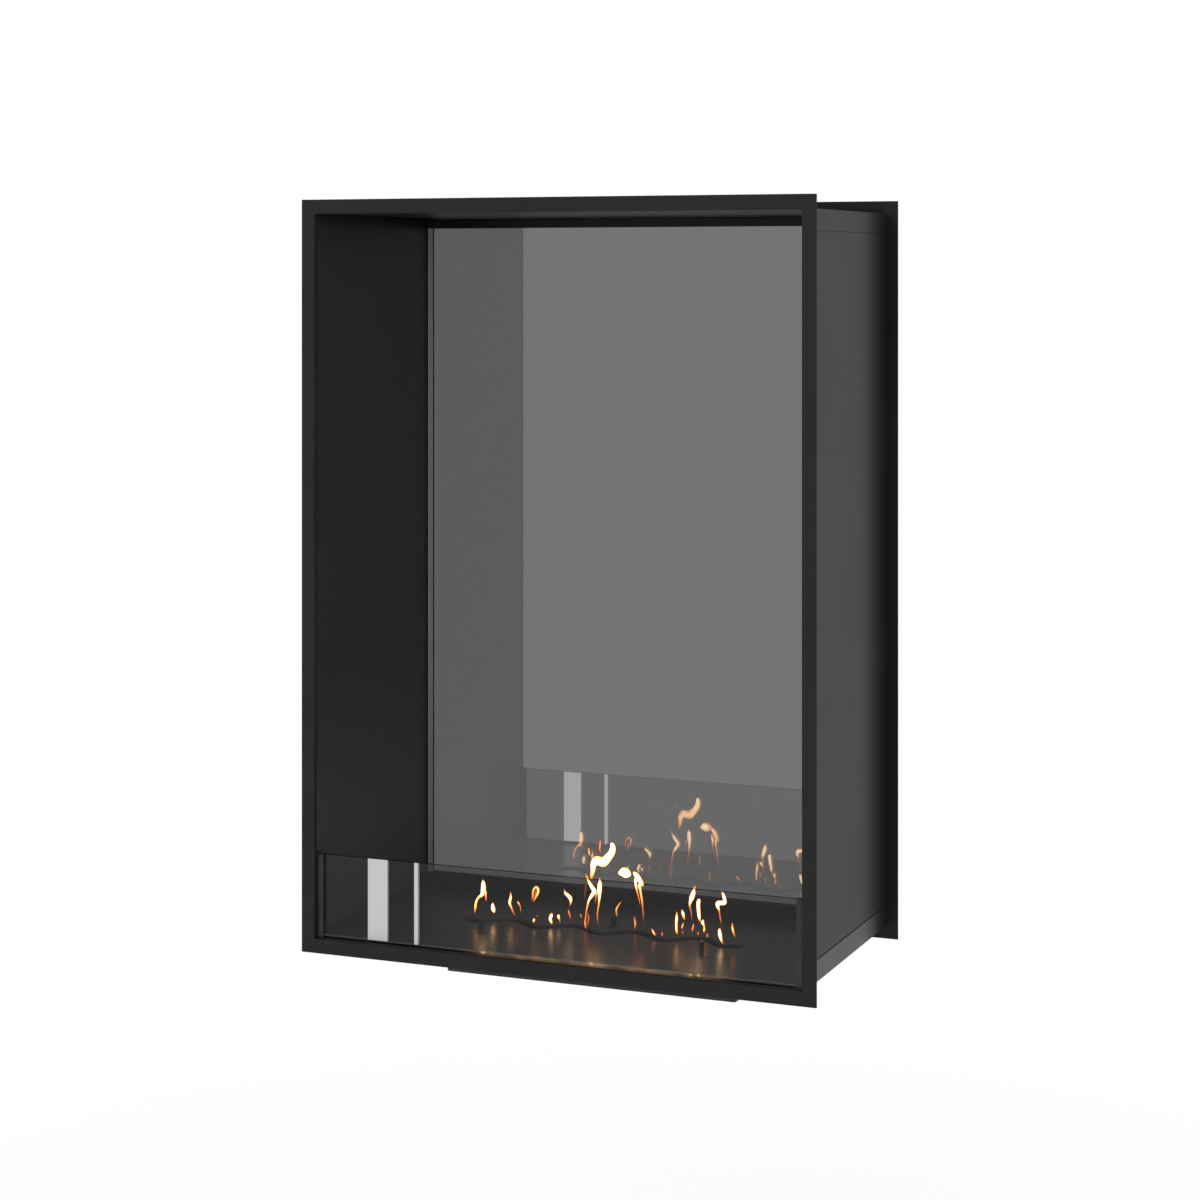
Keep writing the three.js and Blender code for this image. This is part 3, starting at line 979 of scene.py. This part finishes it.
def settled(obj: bpy.types.Object) -> bpy.types.Object:
    """Bakes a piece's modifiers into a plain mesh.

    Args:
        obj: A piece with live modifiers.

    Returns:
        The same piece without them.
    """
    graph = bpy.context.evaluated_depsgraph_get()
    mesh = bpy.data.meshes.new_from_object(obj.evaluated_get(graph))
    obj.modifiers.clear()
    mesh.name = obj.name
    obj.data = mesh
    return obj


def object_of(name: str, mesh: bpy.types.Mesh) -> bpy.types.Object:
    """Puts a mesh into the scene.

    Args:
        name: The object's name.
        mesh: What it shows.

    Returns:
        The object.
    """
    obj = bpy.data.objects.new(name, mesh)
    bpy.context.scene.collection.objects.link(obj)
    return obj


def mesh_of(name: str, points: np.ndarray, faces: Sequence[Sequence[int]]) -> bpy.types.Mesh:
    """Makes a mesh from points and faces.

    Args:
        name: The mesh's name.
        points: One row of X, Y and Z for each point, in metres.
        faces: Point numbers of each face, counter-clockwise from outside.

    Returns:
        The mesh.
    """
    mesh = bpy.data.meshes.new(name)
    mesh.from_pydata([tuple(point) for point in points], [], [tuple(face) for face in faces])
    mesh.update()
    return mesh


class Recipe:
    """A Geometry Nodes tree with named sizes, run once to give a plain mesh."""

    def __init__(self, name: str, sizes: Mapping[str, Union[int, float]]) -> None:
        """Makes the tree and its named inputs.

        Args:
            name: The tree's and the piece's name.
            sizes: What each input is set to.
        """
        self.name = name
        self.sizes = sizes
        self.tree = bpy.data.node_groups.new(name, "GeometryNodeTree")
        self.tree.interface.new_socket("Geometry", in_out="OUTPUT", socket_type="NodeSocketGeometry")
        for size, amount in sizes.items():
            kind = "NodeSocketInt" if isinstance(amount, int) else "NodeSocketFloat"
            self.tree.interface.new_socket(size, in_out="INPUT", socket_type=kind)
        self.bench = NodeBench(self.tree)
        self.entry = self.bench.node("NodeGroupInput")

    def size(self, name: str) -> Signal:
        """Gives one of the named inputs."""
        return Signal(self.bench, self.entry.outputs[name])

    def shape(self, kind: str, **sockets: Any) -> Signal:
        """Adds a geometry node, whose sockets' names are given with _ for a space."""
        given = {name.replace("_", " "): value for name, value in sockets.items()}
        return self.bench.signal(f"GeometryNode{kind}", None, given)

    def point(self, *numbers: Operand) -> Signal:
        """Joins X, Y and Z into a vector."""
        return self.bench.signal("ShaderNodeCombineXYZ", None, dict(enumerate(numbers)))

    def tube(self, path: Signal, radius: Signal, sides: int) -> Signal:
        """Sweeps a round section along a path.

        Args:
            path: The curve to follow.
            radius: The section's radius.
            sides: How many sides the section has.

        Returns:
            The swept mesh.
        """
        ring = self.shape("CurvePrimitiveCircle", Resolution=sides, Radius=radius)
        return self.shape("CurveToMesh", Curve=path, Profile_Curve=ring, Fill_Caps=True)

    def serve(self, geometry: Signal, finish: Finish) -> bpy.types.Object:
        """Ends the tree, runs it and gives the piece.

        Args:
            geometry: What the tree has made.
            finish: What the piece is coated with.

        Returns:
            The piece as a plain mesh.
        """
        real = self.shape("RealizeInstances", Geometry=geometry)
        smooth = self.shape("SetShadeSmooth", Geometry=real)
        painted = self.shape("SetMaterial", Geometry=smooth, Material=coat(finish))
        self.bench.node("NodeGroupOutput", sockets={0: painted})
        piece = object_of(self.name, bpy.data.meshes.new(self.name))
        modifier = piece.modifiers.new("recipe", "NODES")
        modifier.node_group = self.tree
        for item in self.tree.interface.items_tree:
            if item.in_out == "INPUT":
                modifier[item.identifier] = self.sizes[item.name]
        return settled(piece)


class Workshop:
    """Rounds and coats the frame's nodes, and sets each piece on its body."""

    MERGE_DISTANCE = 2e-6
    FLAT_ANGLE = math.radians(0.2)
    SHARP_ANGLE = math.radians(35)

    def __init__(self, frame: Mapping[str, Any]) -> None:
        """Takes the loaded frame."""
        self.nodes: Mapping[str, bpy.types.Object] = frame["nodes"]
        self.slots = {row["node"]: row["material_slot"] for row in frame["record"]["subparts"]}

    def merged(self, node: str) -> bpy.types.Mesh:
        """Copies a node's mesh with its doubles merged and its flat triangles joined.

        Args:
            node: The frame's node.

        Returns:
            The copy.
        """
        shape = bmesh.new()
        shape.from_mesh(self.nodes[node].data)
        bmesh.ops.remove_doubles(shape, verts=shape.verts, dist=self.MERGE_DISTANCE)
        bmesh.ops.dissolve_limit(
            shape, angle_limit=self.FLAT_ANGLE, verts=shape.verts, edges=shape.edges
        )
        mesh = bpy.data.meshes.new(f"{node}.soft")
        shape.to_mesh(mesh)
        shape.free()
        return mesh

    def soften(
        self, finish: Finish, width: float, *nodes: str, body: Body = Body.CASING, segments: int = 2
    ) -> None:
        """Replaces nodes with copies whose edges are rounded.

        Args:
            finish: What they are coated with.
            width: The rounding's width in metres.
            nodes: The frame's nodes.
            body: What they ride on.
            segments: Steps of the rounding.
        """
        for node in nodes:
            piece = object_of(f"{node}.soft", self.merged(node))
            bevel = piece.modifiers.new("edge", "BEVEL")
            bevel.width = width
            bevel.segments = segments
            bevel.limit_method = "ANGLE"
            bevel.angle_limit = self.SHARP_ANGLE
            self.hand_over(dressed(settled(piece), finish), body, node)

    def hand_over(self, piece: bpy.types.Object, body: Body, *nodes: str) -> None:
        """Sets a piece on its body and lets it stand for the frame's nodes.

        Args:
            piece: The finished piece.
            body: What it rides on.
            nodes: The nodes that it stands for, if any.
        """
        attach(piece, body.value)
        if nodes:
            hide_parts(*nodes)
        log.info("%s: %d faces on %s", piece.name, len(piece.data.polygons), body.value)


@dataclass
class Casing:
    """Flange frames, outer skins, liners, burner seats and the hearth plate."""

    flange_edge: float = 0.0006
    sheet_edge: float = 0.0003

    def build(self, shop: Workshop) -> None:
        """Softens and paints the casing's sheets.

        Args:
            shop: What rounds, coats and places the pieces.
        """
        sheet = self.sheet_edge
        shop.soften(PAINT, self.flange_edge, "front_flange_frame", "rear_flange_frame", segments=3)
        shop.soften(SKIN, sheet, "top_cover", "left_outer_skin", "right_outer_skin")
        shop.soften(TRAY, sheet, "bottom_tray")
        shop.soften(LINER, sheet, "left_inner_liner", "right_inner_liner", "ceiling_panel")
        seats = [f"{side}_burner_seat" for side in ("front", "rear", "left", "right")]
        shop.soften(PAINT, sheet, *seats)
        shop.soften(HEARTH, sheet, "floor_plate")


@dataclass
class FrontGlazing:
    """The low glass with its rail, pad and channels."""

    glass_edge: float = 0.0007
    rail_edge: float = 0.0003

    def build(self, shop: Workshop) -> None:
        """Softens and finishes the front glazing.

        Args:
            shop: What rounds, coats and places the pieces.
        """
        shop.soften(GLOSS, self.rail_edge, "front_glass_rail", segments=3)
        shop.soften(SEAL, self.rail_edge, "front_glass_pad")
        shop.soften(CHANNEL, self.rail_edge, "left_glass_channel", "right_glass_channel")
        shop.soften(LOW_PANE, self.glass_edge, "low_front_glass", body=Body.LOW_GLASS, segments=3)


@dataclass
class RearGlazing:
    """The tall smoked glass with its rails and seals."""

    glass_edge: float = 0.0007
    rail_edge: float = 0.0003

    def build(self, shop: Workshop) -> None:
        """Softens and finishes the rear glazing.

        Args:
            shop: What rounds, coats and places the pieces.
        """
        shop.soften(RAIL, self.rail_edge, "rear_bottom_rail", "rear_top_rail")
        shop.soften(SEAL, self.rail_edge, "rear_glass_bottom_seal", "rear_glass_top_seal")
        shop.soften(SMOKED, self.glass_edge, "rear_glass", segments=3)


@dataclass
class Burner:
    """Fuel tank with its rim, lid ledges and ceramic wool."""

    edge: float = 0.0004
    wool_edge: float = 0.002
    fibre_length: float = 0.017
    fibre_radius: float = 0.00013
    fibre_points: int = 7
    fibre_sides: int = 3
    fibre_curl: float = 0.14
    fibre_turn: float = 5.0
    fibre_lean: Point = (0.2, 0.12, 2 * math.pi)
    fibres_per_area: float = 24000.0
    seed: int = 5

    def build(self, shop: Workshop) -> None:
        """Softens and finishes the tank and what it holds.

        Args:
            shop: What rounds, coats and places the pieces.
        """
        shop.soften(TANK, self.edge, "burner_tank", segments=3)
        shop.soften(TANK, self.edge, "left_lid_ledge", "right_lid_ledge")
        shop.soften(WOOL, self.wool_edge, "fuel_wool", segments=3)
        shop.hand_over(self.fibres(), Body.CASING)

    def fibres(self) -> bpy.types.Object:
        """Strews loose curled fibres over the wool's top.

        Returns:
            The fibres as one piece.
        """
        low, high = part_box("fuel_wool")
        sizes = {
            "Length": high[0] - low[0] - self.fibre_length,
            "Depth": high[1] - low[1] - self.fibre_length,
            "Height": high[2],
            "Fibre": self.fibre_length,
            "Radius": self.fibre_radius,
            "Density": self.fibres_per_area,
            "Seed": self.seed,
        }
        recipe = Recipe("wool_fibres", sizes)
        bench, size, shape = recipe.bench, recipe.size, recipe.shape
        bed = shape("MeshGrid", Size_X=size("Length"), Size_Y=size("Depth"), Vertices_X=2, Vertices_Y=2)
        bed = shape("SetPosition", Geometry=bed, Offset=recipe.point(0.0, 0.0, size("Height")))
        spots = shape("DistributePointsOnFaces", Mesh=bed, Density=size("Density"), Seed=size("Seed"))
        line = shape("CurvePrimitiveLine", End=(1.0, 0.0, 0.0))
        line = shape("ResampleCurve", Curve=line, Count=self.fibre_points)
        share, _, _ = bench.axes(shape("InputPosition"))
        curl = (share * self.fibre_turn).math("SINE") * self.fibre_curl
        fibre = size("Fibre")
        bend = recipe.point((share - 0.5) * fibre, curl * fibre, share * curl * fibre)
        line = shape("SetPosition", Geometry=line, Position=bend)
        lean_x, lean_y, turn = self.fibre_lean
        ends = {0: (-lean_x, -lean_y, 0.0), 1: (lean_x, lean_y, turn), "Seed": size("Seed")}
        turned = bench.signal("FunctionNodeRandomValue", {"data_type": "FLOAT_VECTOR"}, ends)
        strand = recipe.tube(line, size("Radius"), self.fibre_sides)
        return recipe.serve(
            shape("InstanceOnPoints", Points=spots, Instance=strand, Rotation=turned), WOOL
        )


@dataclass
class BurnerLid:
    """The lid with its wave slot and rolled lip, the lift knobs, the shutter and its straps."""

    edge: float = 0.0003
    slot_margin: float = 0.0062
    wave_height: float = 0.014
    wave_pitch: float = 0.0995
    wave_width: float = 0.0215
    wave_steps: int = 16
    lip_radius: float = 0.0008
    lip_sides: int = 10

    def build(self, shop: Workshop) -> None:
        """Softens and finishes the lid and the shutter.

        Args:
            shop: What rounds, coats and places the pieces.
        """
        shop.soften(HEARTH, self.edge, "burner_lid", body=Body.LID)
        shop.soften(STRAP, self.edge, "left_shutter_strap", "right_shutter_strap", body=Body.LID)
        shop.soften(KNOB, self.edge, "left_lift_knob", "right_lift_knob", body=Body.LID)
        shop.soften(STRAP, self.edge, "shutter_plate", body=Body.SHUTTER)
        shop.soften(KNOB, self.edge, "shutter_knob", body=Body.SHUTTER)
        shop.hand_over(self.lip(), Body.LID)

    def lip(self) -> bpy.types.Object:
        """Rolls a bead along the wave slot's edge, flush with the lid's top.

        Returns:
            The bead.
        """
        low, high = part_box("burner_lid")
        length = high[0] - low[0] - 2 * self.slot_margin
        sizes = {
            "Length": length,
            "Width": self.wave_width,
            "Pitch": self.wave_pitch,
            "Amplitude": self.wave_height,
            "Height": high[2] - self.lip_radius / 2,
            "Radius": self.lip_radius,
            "Stations": math.ceil(length * self.wave_steps / self.wave_pitch) + 1,
        }
        recipe = Recipe("slot_lip", sizes)
        bench, size, shape = recipe.bench, recipe.size, recipe.shape
        band = shape(
            "MeshGrid",
            Size_X=size("Length"),
            Size_Y=size("Width"),
            Vertices_X=size("Stations"),
            Vertices_Y=2,
        )
        x, y, _ = bench.axes(shape("InputPosition"))
        angle = x * (2 * math.pi) / size("Pitch")
        swing = angle.math("COSINE") * size("Amplitude")
        band = shape("SetPosition", Geometry=band, Position=recipe.point(x, y - swing, size("Height")))
        # An edge at the band's border has one face beside it. The whole numbers enter by 2 and 3.
        lone = {"data_type": "INT", "operation": "EQUAL"}
        border = bench.signal("FunctionNodeCompare", lone, {2: shape("InputMeshEdgeNeighbors"), 3: 1})
        edge = shape("MeshToCurve", Mesh=band, Selection=border)
        return recipe.serve(recipe.tube(edge, size("Radius"), self.lip_sides), LIP)


@dataclass(frozen=True)
class Lamp:
    """A square soft lamp: where it hangs, its side in metres and its power in watts."""

    name: str
    place: Point
    side: float
    power: float


@dataclass
class Studio:
    """Camera, pale floor and soft light."""

    camera_place: Point = (1.4806, -3.6130, 0.9734)
    camera_turn: float = math.radians(22.3416)
    lens: float = 79.35
    sensor: float = 36.0
    shift_y: float = -0.2721
    far_end: float = 60.0
    floor_height: float = -0.62
    floor_radius: float = 40.0
    floor_sides: int = 64
    surround: float = 0.65
    lamps: tuple[Lamp, ...] = (
        Lamp("key", (-1.6, -3.2, 2.4), 2.2, 60.0),
        Lamp("fill", (2.8, -1.8, 1.2), 2.0, 28.0),
    )
    lamp_aim: Point = (0.0, 0.0, 0.5)

    def build(self) -> None:
        """Builds the camera, floor, world and lamps."""
        self.build_camera()
        self.build_floor()
        self.build_world()
        for lamp in self.lamps:
            self.hang(lamp)

    def build_camera(self) -> None:
        """Stands the camera where the photograph was taken from."""
        data = bpy.data.cameras.new("camera")
        data.lens = self.lens
        data.sensor_width = self.sensor
        data.sensor_fit = "HORIZONTAL"
        data.shift_y = self.shift_y
        data.clip_end = self.far_end
        camera = bpy.data.objects.new("camera", data)
        camera.location = self.camera_place
        camera.rotation_euler = (math.pi / 2, 0.0, self.camera_turn)
        bpy.context.scene.collection.objects.link(camera)
        bpy.context.scene.camera = camera

    def build_floor(self) -> None:
        """Lays a pale round floor that keeps a soft shadow."""
        turns = [2 * math.pi * side / self.floor_sides for side in range(self.floor_sides)]
        radius = self.floor_radius
        rim = [(radius * math.cos(turn), radius * math.sin(turn), self.floor_height) for turn in turns]
        mesh = mesh_of("studio_floor", np.array(rim), [range(self.floor_sides)])
        dressed(object_of("studio_floor", mesh), CARD)

    def build_world(self) -> None:
        """Makes a surround that is white to the eye and lights the object at a plain level."""
        world = bpy.data.worlds.new("studio")
        world.use_nodes = True
        bpy.context.scene.world = world
        bench = NodeBench(world.node_tree)
        strength = bench.seen() * (1.0 - self.surround) + self.surround
        sockets = {"Color": opaque(WHITE), "Strength": strength}
        light = bench.signal("ShaderNodeBackground", None, sockets)
        bench.node("ShaderNodeOutputWorld", sockets={"Surface": light})

    def hang(self, lamp: Lamp) -> None:
        """Hangs a lamp that mirrors and the camera don't see.

        Args:
            lamp: Its place, side and power.
        """
        data = bpy.data.lights.new(lamp.name, "AREA")
        data.shape = "SQUARE"
        data.size = lamp.side
        data.energy = lamp.power
        obj = bpy.data.objects.new(lamp.name, data)
        obj.location = lamp.place
        obj.rotation_mode = "QUATERNION"
        obj.rotation_quaternion = (Vector(self.lamp_aim) - Vector(lamp.place)).to_track_quat("-Z", "Y")
        obj.visible_glossy = False
        obj.visible_camera = False
        bpy.context.scene.collection.objects.link(obj)


@dataclass(frozen=True)
class Tongue:
    """One tongue of flame: its depth, points of X, height and half-width in millimetres, and its vigour."""

    depth: float
    points: tuple[Point, ...]
    vigour: float = 1.0


TONGUES = (
    Tongue(-14, ((-203, 10, 0.5), (-201, 17, 1.2), (-200, 25, 1.6), (-198, 33, 1.6), (-194, 39, 1.6),
        (-189, 43, 2.5), (-187, 50, 3.7), (-187, 58, 3.2), (-188, 66, 0.6))),
    Tongue(-11, ((-184, 31, 0.5), (-184, 36, 1.0), (-185, 42, 1.5), (-187, 48, 2.2)), 0.8),
    Tongue(-1, ((-174, 13, 0.6), (-176, 16, 2.2), (-177, 20, 3.2), (-177, 25, 2.1), (-177, 30, 0.5))),
    Tongue(14, ((-146, 6, 0.7), (-150, 14, 0.9), (-153, 21, 1.2), (-156, 28, 1.9), (-155, 36, 1.6),
        (-156, 44, 0.5))),
    Tongue(10, ((-137, 14, 0.4), (-138, 23, 0.6), (-141, 29, 1.3), (-142, 32, 0.6))),
    Tongue(-11, ((-109, 36, 0.6), (-108, 45, 1.1), (-107, 55, 1.2), (-103, 61, 1.3), (-99, 59, 1.4),
        (-99, 53, 1.4), (-103, 46, 1.3), (-107, 38, 0.7))),
    Tongue(-9, ((-108, 38, 0.8), (-105, 47, 1.9), (-103, 54, 2.1), (-103, 59, 1.0)), 0.3),
    Tongue(-14, ((-98, 21, 0.9), (-100, 18, 1.2)), 0.5),
    Tongue(-14, ((-103, 15, 1.0), (-105, 12, 1.6), (-105, 8, 0.6))),
    Tongue(-4, ((-79, 5, 0.5), (-81, 9, 1.6), (-83, 14, 2.1), (-81, 19, 2.0), (-80, 23, 0.8))),
    Tongue(4, ((-69, 7, 0.4), (-71, 11, 0.7), (-73, 16, 1.8), (-73, 20, 0.8))),
    Tongue(12, ((-57, 11, 0.6), (-57, 15, 1.1), (-59, 22, 1.4), (-60, 27, 0.7)), 0.55),
    Tongue(12, ((-60, 29, 0.5), (-57, 34, 0.9), (-56, 39, 1.7), (-57, 44, 2.8), (-61, 48, 2.4),
        (-65, 51, 1.5), (-66, 56, 0.5))),
    Tongue(11, ((-39, 15, 0.6), (-39, 19, 1.1), (-40, 23, 0.6)), 0.7),
    Tongue(-2, ((-23, 3, 0.8), (-26, 6, 1.3), (-27, 12, 1.2), (-26, 24, 0.9), (-24, 36, 1.2),
        (-21, 47, 1.6), (-16, 55, 2.5), (-13, 61, 3.3), (-18, 68, 2.5), (-23, 76, 1.3), (-27, 86, 0.5))),
    Tongue(-1, ((-26, 7, 0.5), (-23, 13, 0.7), (-22, 20, 0.8), (-24, 27, 0.5)), 0.8),
    Tongue(1, ((-30, 44, 0.4), (-29, 54, 0.8), (-27, 65, 0.9), (-25, 72, 0.5)), 0.5),
    Tongue(-14, ((0, 12, 0.4), (-2, 21, 0.8), (-2, 33, 0.9), (0, 45, 1.2), (1, 57, 1.9), (1, 66, 3.3),
        (1, 74, 3.0), (1, 80, 1.4), (0, 84, 0.5))),
    Tongue(-13, ((-6, 45, 0.4), (-6, 51, 0.8), (-5, 58, 1.2), (-3, 66, 1.6)), 0.8),
    Tongue(-8, ((-15, 77, 1.5), (-14, 85, 2.3), (-12, 94, 3.2), (-11, 102, 4.6), (-6, 108, 6.2),
        (0, 107, 6.4), (5, 107, 6.8), (11, 113, 5.6), (17, 121, 4.7), (19, 128, 4.1), (18, 133, 2.7),
        (16, 136, 0.8))),
    Tongue(-14, ((4, 118, 0.5), (2, 127, 0.9), (2, 133, 1.0), (2, 140, 0.5)), 0.75),
    Tongue(-6, ((-18, 113, 0.6), (-19, 119, 1.0), (-20, 125, 0.5))),
    Tongue(0, ((24, 91, 1.2), (28, 91, 4.0), (33, 92, 6.9), (38, 91, 7.0), (42, 90, 5.2), (45, 89, 1.8))),
    Tongue(10, ((43, 91, 0.6), (48, 90, 2.3), (52, 86, 3.4), (55, 81, 3.3), (58, 75, 2.7),
        (59, 71, 1.0))),
    Tongue(11, ((55, 40, 0.4), (54, 49, 0.6), (52, 57, 0.9), (50, 67, 1.3), (49, 75, 1.8),
        (48, 84, 1.2))),
    Tongue(11, ((60, 14, 0.4), (60, 28, 0.7), (59, 40, 0.9), (58, 51, 1.2), (56, 63, 1.5), (55, 70, 1.8),
        (54, 78, 1.6)), 0.9),
    Tongue(0, ((24, 25, 0.5), (23, 32, 1.0), (23, 39, 1.2), (29, 49, 0.5))),
    Tongue(13, ((45, 6, 0.6), (46, 11, 1.0), (46, 17, 1.2), (45, 26, 0.5)), 0.9),
    Tongue(-10, ((88, 6, 0.9), (85, 11, 1.4), (81, 16, 0.7))),
    Tongue(-14, ((99, 8, 0.7), (100, 11, 1.0), (99, 14, 0.5)), 0.8),
    Tongue(-4, ((120, 8, 0.8), (118, 16, 1.6), (118, 26, 1.7), (119, 34, 1.8), (119, 44, 0.6))),
    Tongue(-1, ((130, 30, 0.5), (129, 35, 1.3), (127, 41, 1.9), (124, 46, 0.5))),
    Tongue(-1, ((125, 17, 0.5), (126, 22, 1.2), (127, 27, 0.5))),
    Tongue(-1, ((127, 11, 0.5), (127, 13, 0.9), (126, 15, 0.5)), 0.8),
    Tongue(11, ((137, 26, 0.4), (136, 34, 0.6), (135, 43, 0.7), (133, 50, 1.2), (134, 56, 2.1),
        (136, 62, 3.5), (138, 68, 3.0), (139, 73, 1.5), (141, 79, 0.6))),
    Tongue(10, ((137, 12, 0.7), (138, 18, 1.1), (139, 24, 0.5))),
    Tongue(13, ((150, 24, 0.5), (149, 29, 1.2), (148, 35, 2.0), (147, 43, 2.5), (146, 51, 2.6),
        (146, 57, 2.5), (148, 61, 0.7))),
    Tongue(12, ((154, 11, 0.7), (155, 16, 1.4), (155, 22, 1.2), (153, 27, 2.0), (154, 32, 0.8))),
    Tongue(-11, ((188, 29, 0.4), (189, 35, 0.7), (188, 41, 0.9), (187, 47, 0.7), (186, 53, 1.2),
        (184, 59, 2.6), (185, 63, 3.2), (190, 64, 3.1), (195, 65, 2.9), (195, 71, 2.3), (193, 77, 1.7),
        (190, 82, 0.5))),
    Tongue(-13, ((194, 3, 0.6), (191, 11, 1.6), (189, 19, 2.7), (188, 24, 2.0), (188, 28, 0.6))),
    Tongue(-10, ((211, 14, 0.5), (208, 22, 1.2), (207, 29, 1.4), (207, 37, 0.5))),
    Tongue(13, ((145, 7, 0.6), (145, 10, 1.0), (145, 12, 0.5)), 0.8),
    Tongue(10, ((161, 6, 0.7), (161, 9, 1.1), (160, 12, 0.5)), 0.8),
)


@dataclass
class Flames:
    """Thin lofted tongues of flame over the slot."""

    steps: int = 7
    around: int = 16
    depth_share: float = 0.7
    swell: float = 0.1
    least_run: float = 1e-9
    tip_share: float = 1.3
    least_radius: float = 0.06
    sway: float = 1.5
    slow_wave: float = 3.0
    quick_wave: float = 5.0
    seed: int = 11
    side_warmth: float = 0.22
    side_power: float = 0.6
    full_width: float = 1.9
    least_warmth: float = 0.46
    foot_warmth: float = 0.64
    top_warmth: float = 0.42
    foot_fade: Limits = (0.25, 4.0)
    tip_fade: Limits = (6.6, -6.0)

    def build(self, shop: Workshop) -> None:
        """Lofts the tongues."""
        shop.hand_over(self.tongues("flame_tongues"), Body.LID)

    def tongues(self, name: str) -> bpy.types.Object:
        """Lofts a closed skin for each tongue.

        Args:
            name: The piece's name.

        Returns:
            The piece, with its warmth attribute.
        """
        points: list[np.ndarray] = []
        faces: list[tuple[int, ...]] = []
        warmths: list[np.ndarray] = []
        chance = np.random.default_rng(self.seed)
        for tongue in TONGUES:
            rows = self.smooth(np.array(tongue.points))
            slow, quick = chance.uniform(-self.sway, self.sway, 2)
            start = sum(len(part) for part in points)
            along = np.linspace(0.0, 1.0, len(rows))
            drift = slow * np.sin(along * self.slow_wave)
            depths = tongue.depth + drift + quick * np.sin(along * self.quick_wave)
            radii = self.rounded(rows, rows[:, 2] + self.swell)
            points.append(self.rings(rows, depths, radii))
            faces += self.skin(start, len(rows))
            warmths.append(self.warmth(rows, along) * tongue.vigour)
        edgeward = np.abs(np.sin(self.turns())) ** self.side_power
        across = self.side_warmth + (1.0 - self.side_warmth) * edgeward
        mesh = mesh_of(name, np.concatenate(points) / MILLIMETRES, faces)
        attribute = mesh.attributes.new("warmth", "FLOAT", "POINT")
        shades = np.outer(np.concatenate(warmths), across).astype(np.float32)
        attribute.data.foreach_set("value", shades.ravel())
        mesh.shade_smooth()
        return dressed(object_of(name, mesh), FLAME)

    def turns(self) -> np.ndarray:
        """Gives the angle of each point round a ring."""
        return np.linspace(0.0, 2 * np.pi, self.around, endpoint=False)

    def warmth(self, rows: np.ndarray, along: np.ndarray) -> np.ndarray:
        """Works out how warm a tongue glows: most where it is wide and high, least at its ends.

        Args:
            rows: X, height and half-width along the tongue.
            along: The share of the way at each row.

        Returns:
            The warmth at each row.
        """
        rise = (rows[:, 1] - rows[:, 1].min()) / np.ptp(rows[:, 1])
        foot, tip = [np.clip(at + slope * along, 0.0, 1.0) for at, slope in (self.foot_fade, self.tip_fade)]
        width = np.clip(rows[:, 2] / self.full_width, self.least_warmth, 1.0)
        return width * (self.foot_warmth + self.top_warmth * np.sqrt(rise)) * (foot * tip)

    def rounded(self, rows: np.ndarray, radii: np.ndarray) -> np.ndarray:
        """Draws a tongue's ends in to round tips.

        Args:
            rows: X, height and half-width along the tongue.
            radii: The radius at each row.

        Returns:
            The radii with the ends drawn in.
        """
        runs = np.linalg.norm(np.diff(rows[:, :2], axis=0), axis=1)
        travel = np.concatenate([[0.0], np.cumsum(runs)])
        nearest = np.minimum(travel, travel[-1] - travel) / (self.tip_share * radii)
        share = 1.0 - np.clip(nearest, 0.0, 1.0)
        return np.maximum(radii * np.sqrt(1.0 - share**2), self.least_radius)

    def smooth(self, points: np.ndarray) -> np.ndarray:
        """Runs a curve through the points.

        Args:
            points: Rows of X, height and half-width.

        Returns:
            Closer rows along the same line.
        """
        ends = np.vstack([2 * points[0] - points[1], points, 2 * points[-1] - points[-2]])
        rows = []
        for before, first, second, after in zip(ends, ends[1:], ends[2:], ends[3:]):
            for share in np.arange(self.steps) / self.steps:
                turn = 2 * first + (second - before) * share
                bend = (2 * before - 5 * first + 4 * second - after) * share**2
                rows.append((turn + bend + (3 * first - before - 3 * second + after) * share**3) / 2)
        rows.append(points[-1])
        return np.array(rows)

    def rings(self, rows: np.ndarray, depths: np.ndarray, radii: np.ndarray) -> np.ndarray:
        """Places a ring of points round each row, square to the tongue's run.

        Args:
            rows: X, height and half-width along the tongue.
            depths: Y at each row.
            radii: The radius at each row.

        Returns:
            The points, ring by ring.
        """
        runs = np.gradient(rows[:, :2], axis=0)
        runs /= np.linalg.norm(runs, axis=1, keepdims=True) + self.least_run
        turns = self.turns()
        rings = []
        for (x, z, _), y, radius, (run_x, run_z) in zip(rows, depths, radii, runs):
            side = np.cos(turns) * radius
            deep = np.sin(turns) * radius * self.depth_share
            rings.append(np.stack([x + side * run_z, y + deep, z - side * run_x], axis=1))
        return np.concatenate(rings)

    def skin(self, start: int, count: int) -> list[tuple[int, ...]]:
        """Joins the rings of one tongue into a closed skin.

        Args:
            start: The number of its first point.
            count: How many rings it has.

        Returns:
            Point numbers of each face.
        """
        faces: list[tuple[int, ...]] = []
        for low in range(start, start + (count - 1) * self.around, self.around):
            for step in range(self.around):
                after = (step + 1) % self.around
                faces.append((low + step, low + after, low + after + self.around, low + step + self.around))
        last = start + (count - 1) * self.around
        faces.append(tuple(reversed(range(start, start + self.around))))
        faces.append(tuple(range(last, last + self.around)))
        return faces


def main() -> None:
    """Builds every sub-assembly round the frame, and the studio."""
    logging.basicConfig(level=logging.INFO, format="%(message)s")
    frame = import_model()
    bpy.context.scene.view_settings.view_transform = "Standard"
    shop = Workshop(frame)
    for assembly in (Casing(), FrontGlazing(), RearGlazing(), Burner(), BurnerLid(), Flames()):
        assembly.build(shop)
    Studio().build()


if __name__ == "__main__":
    main()
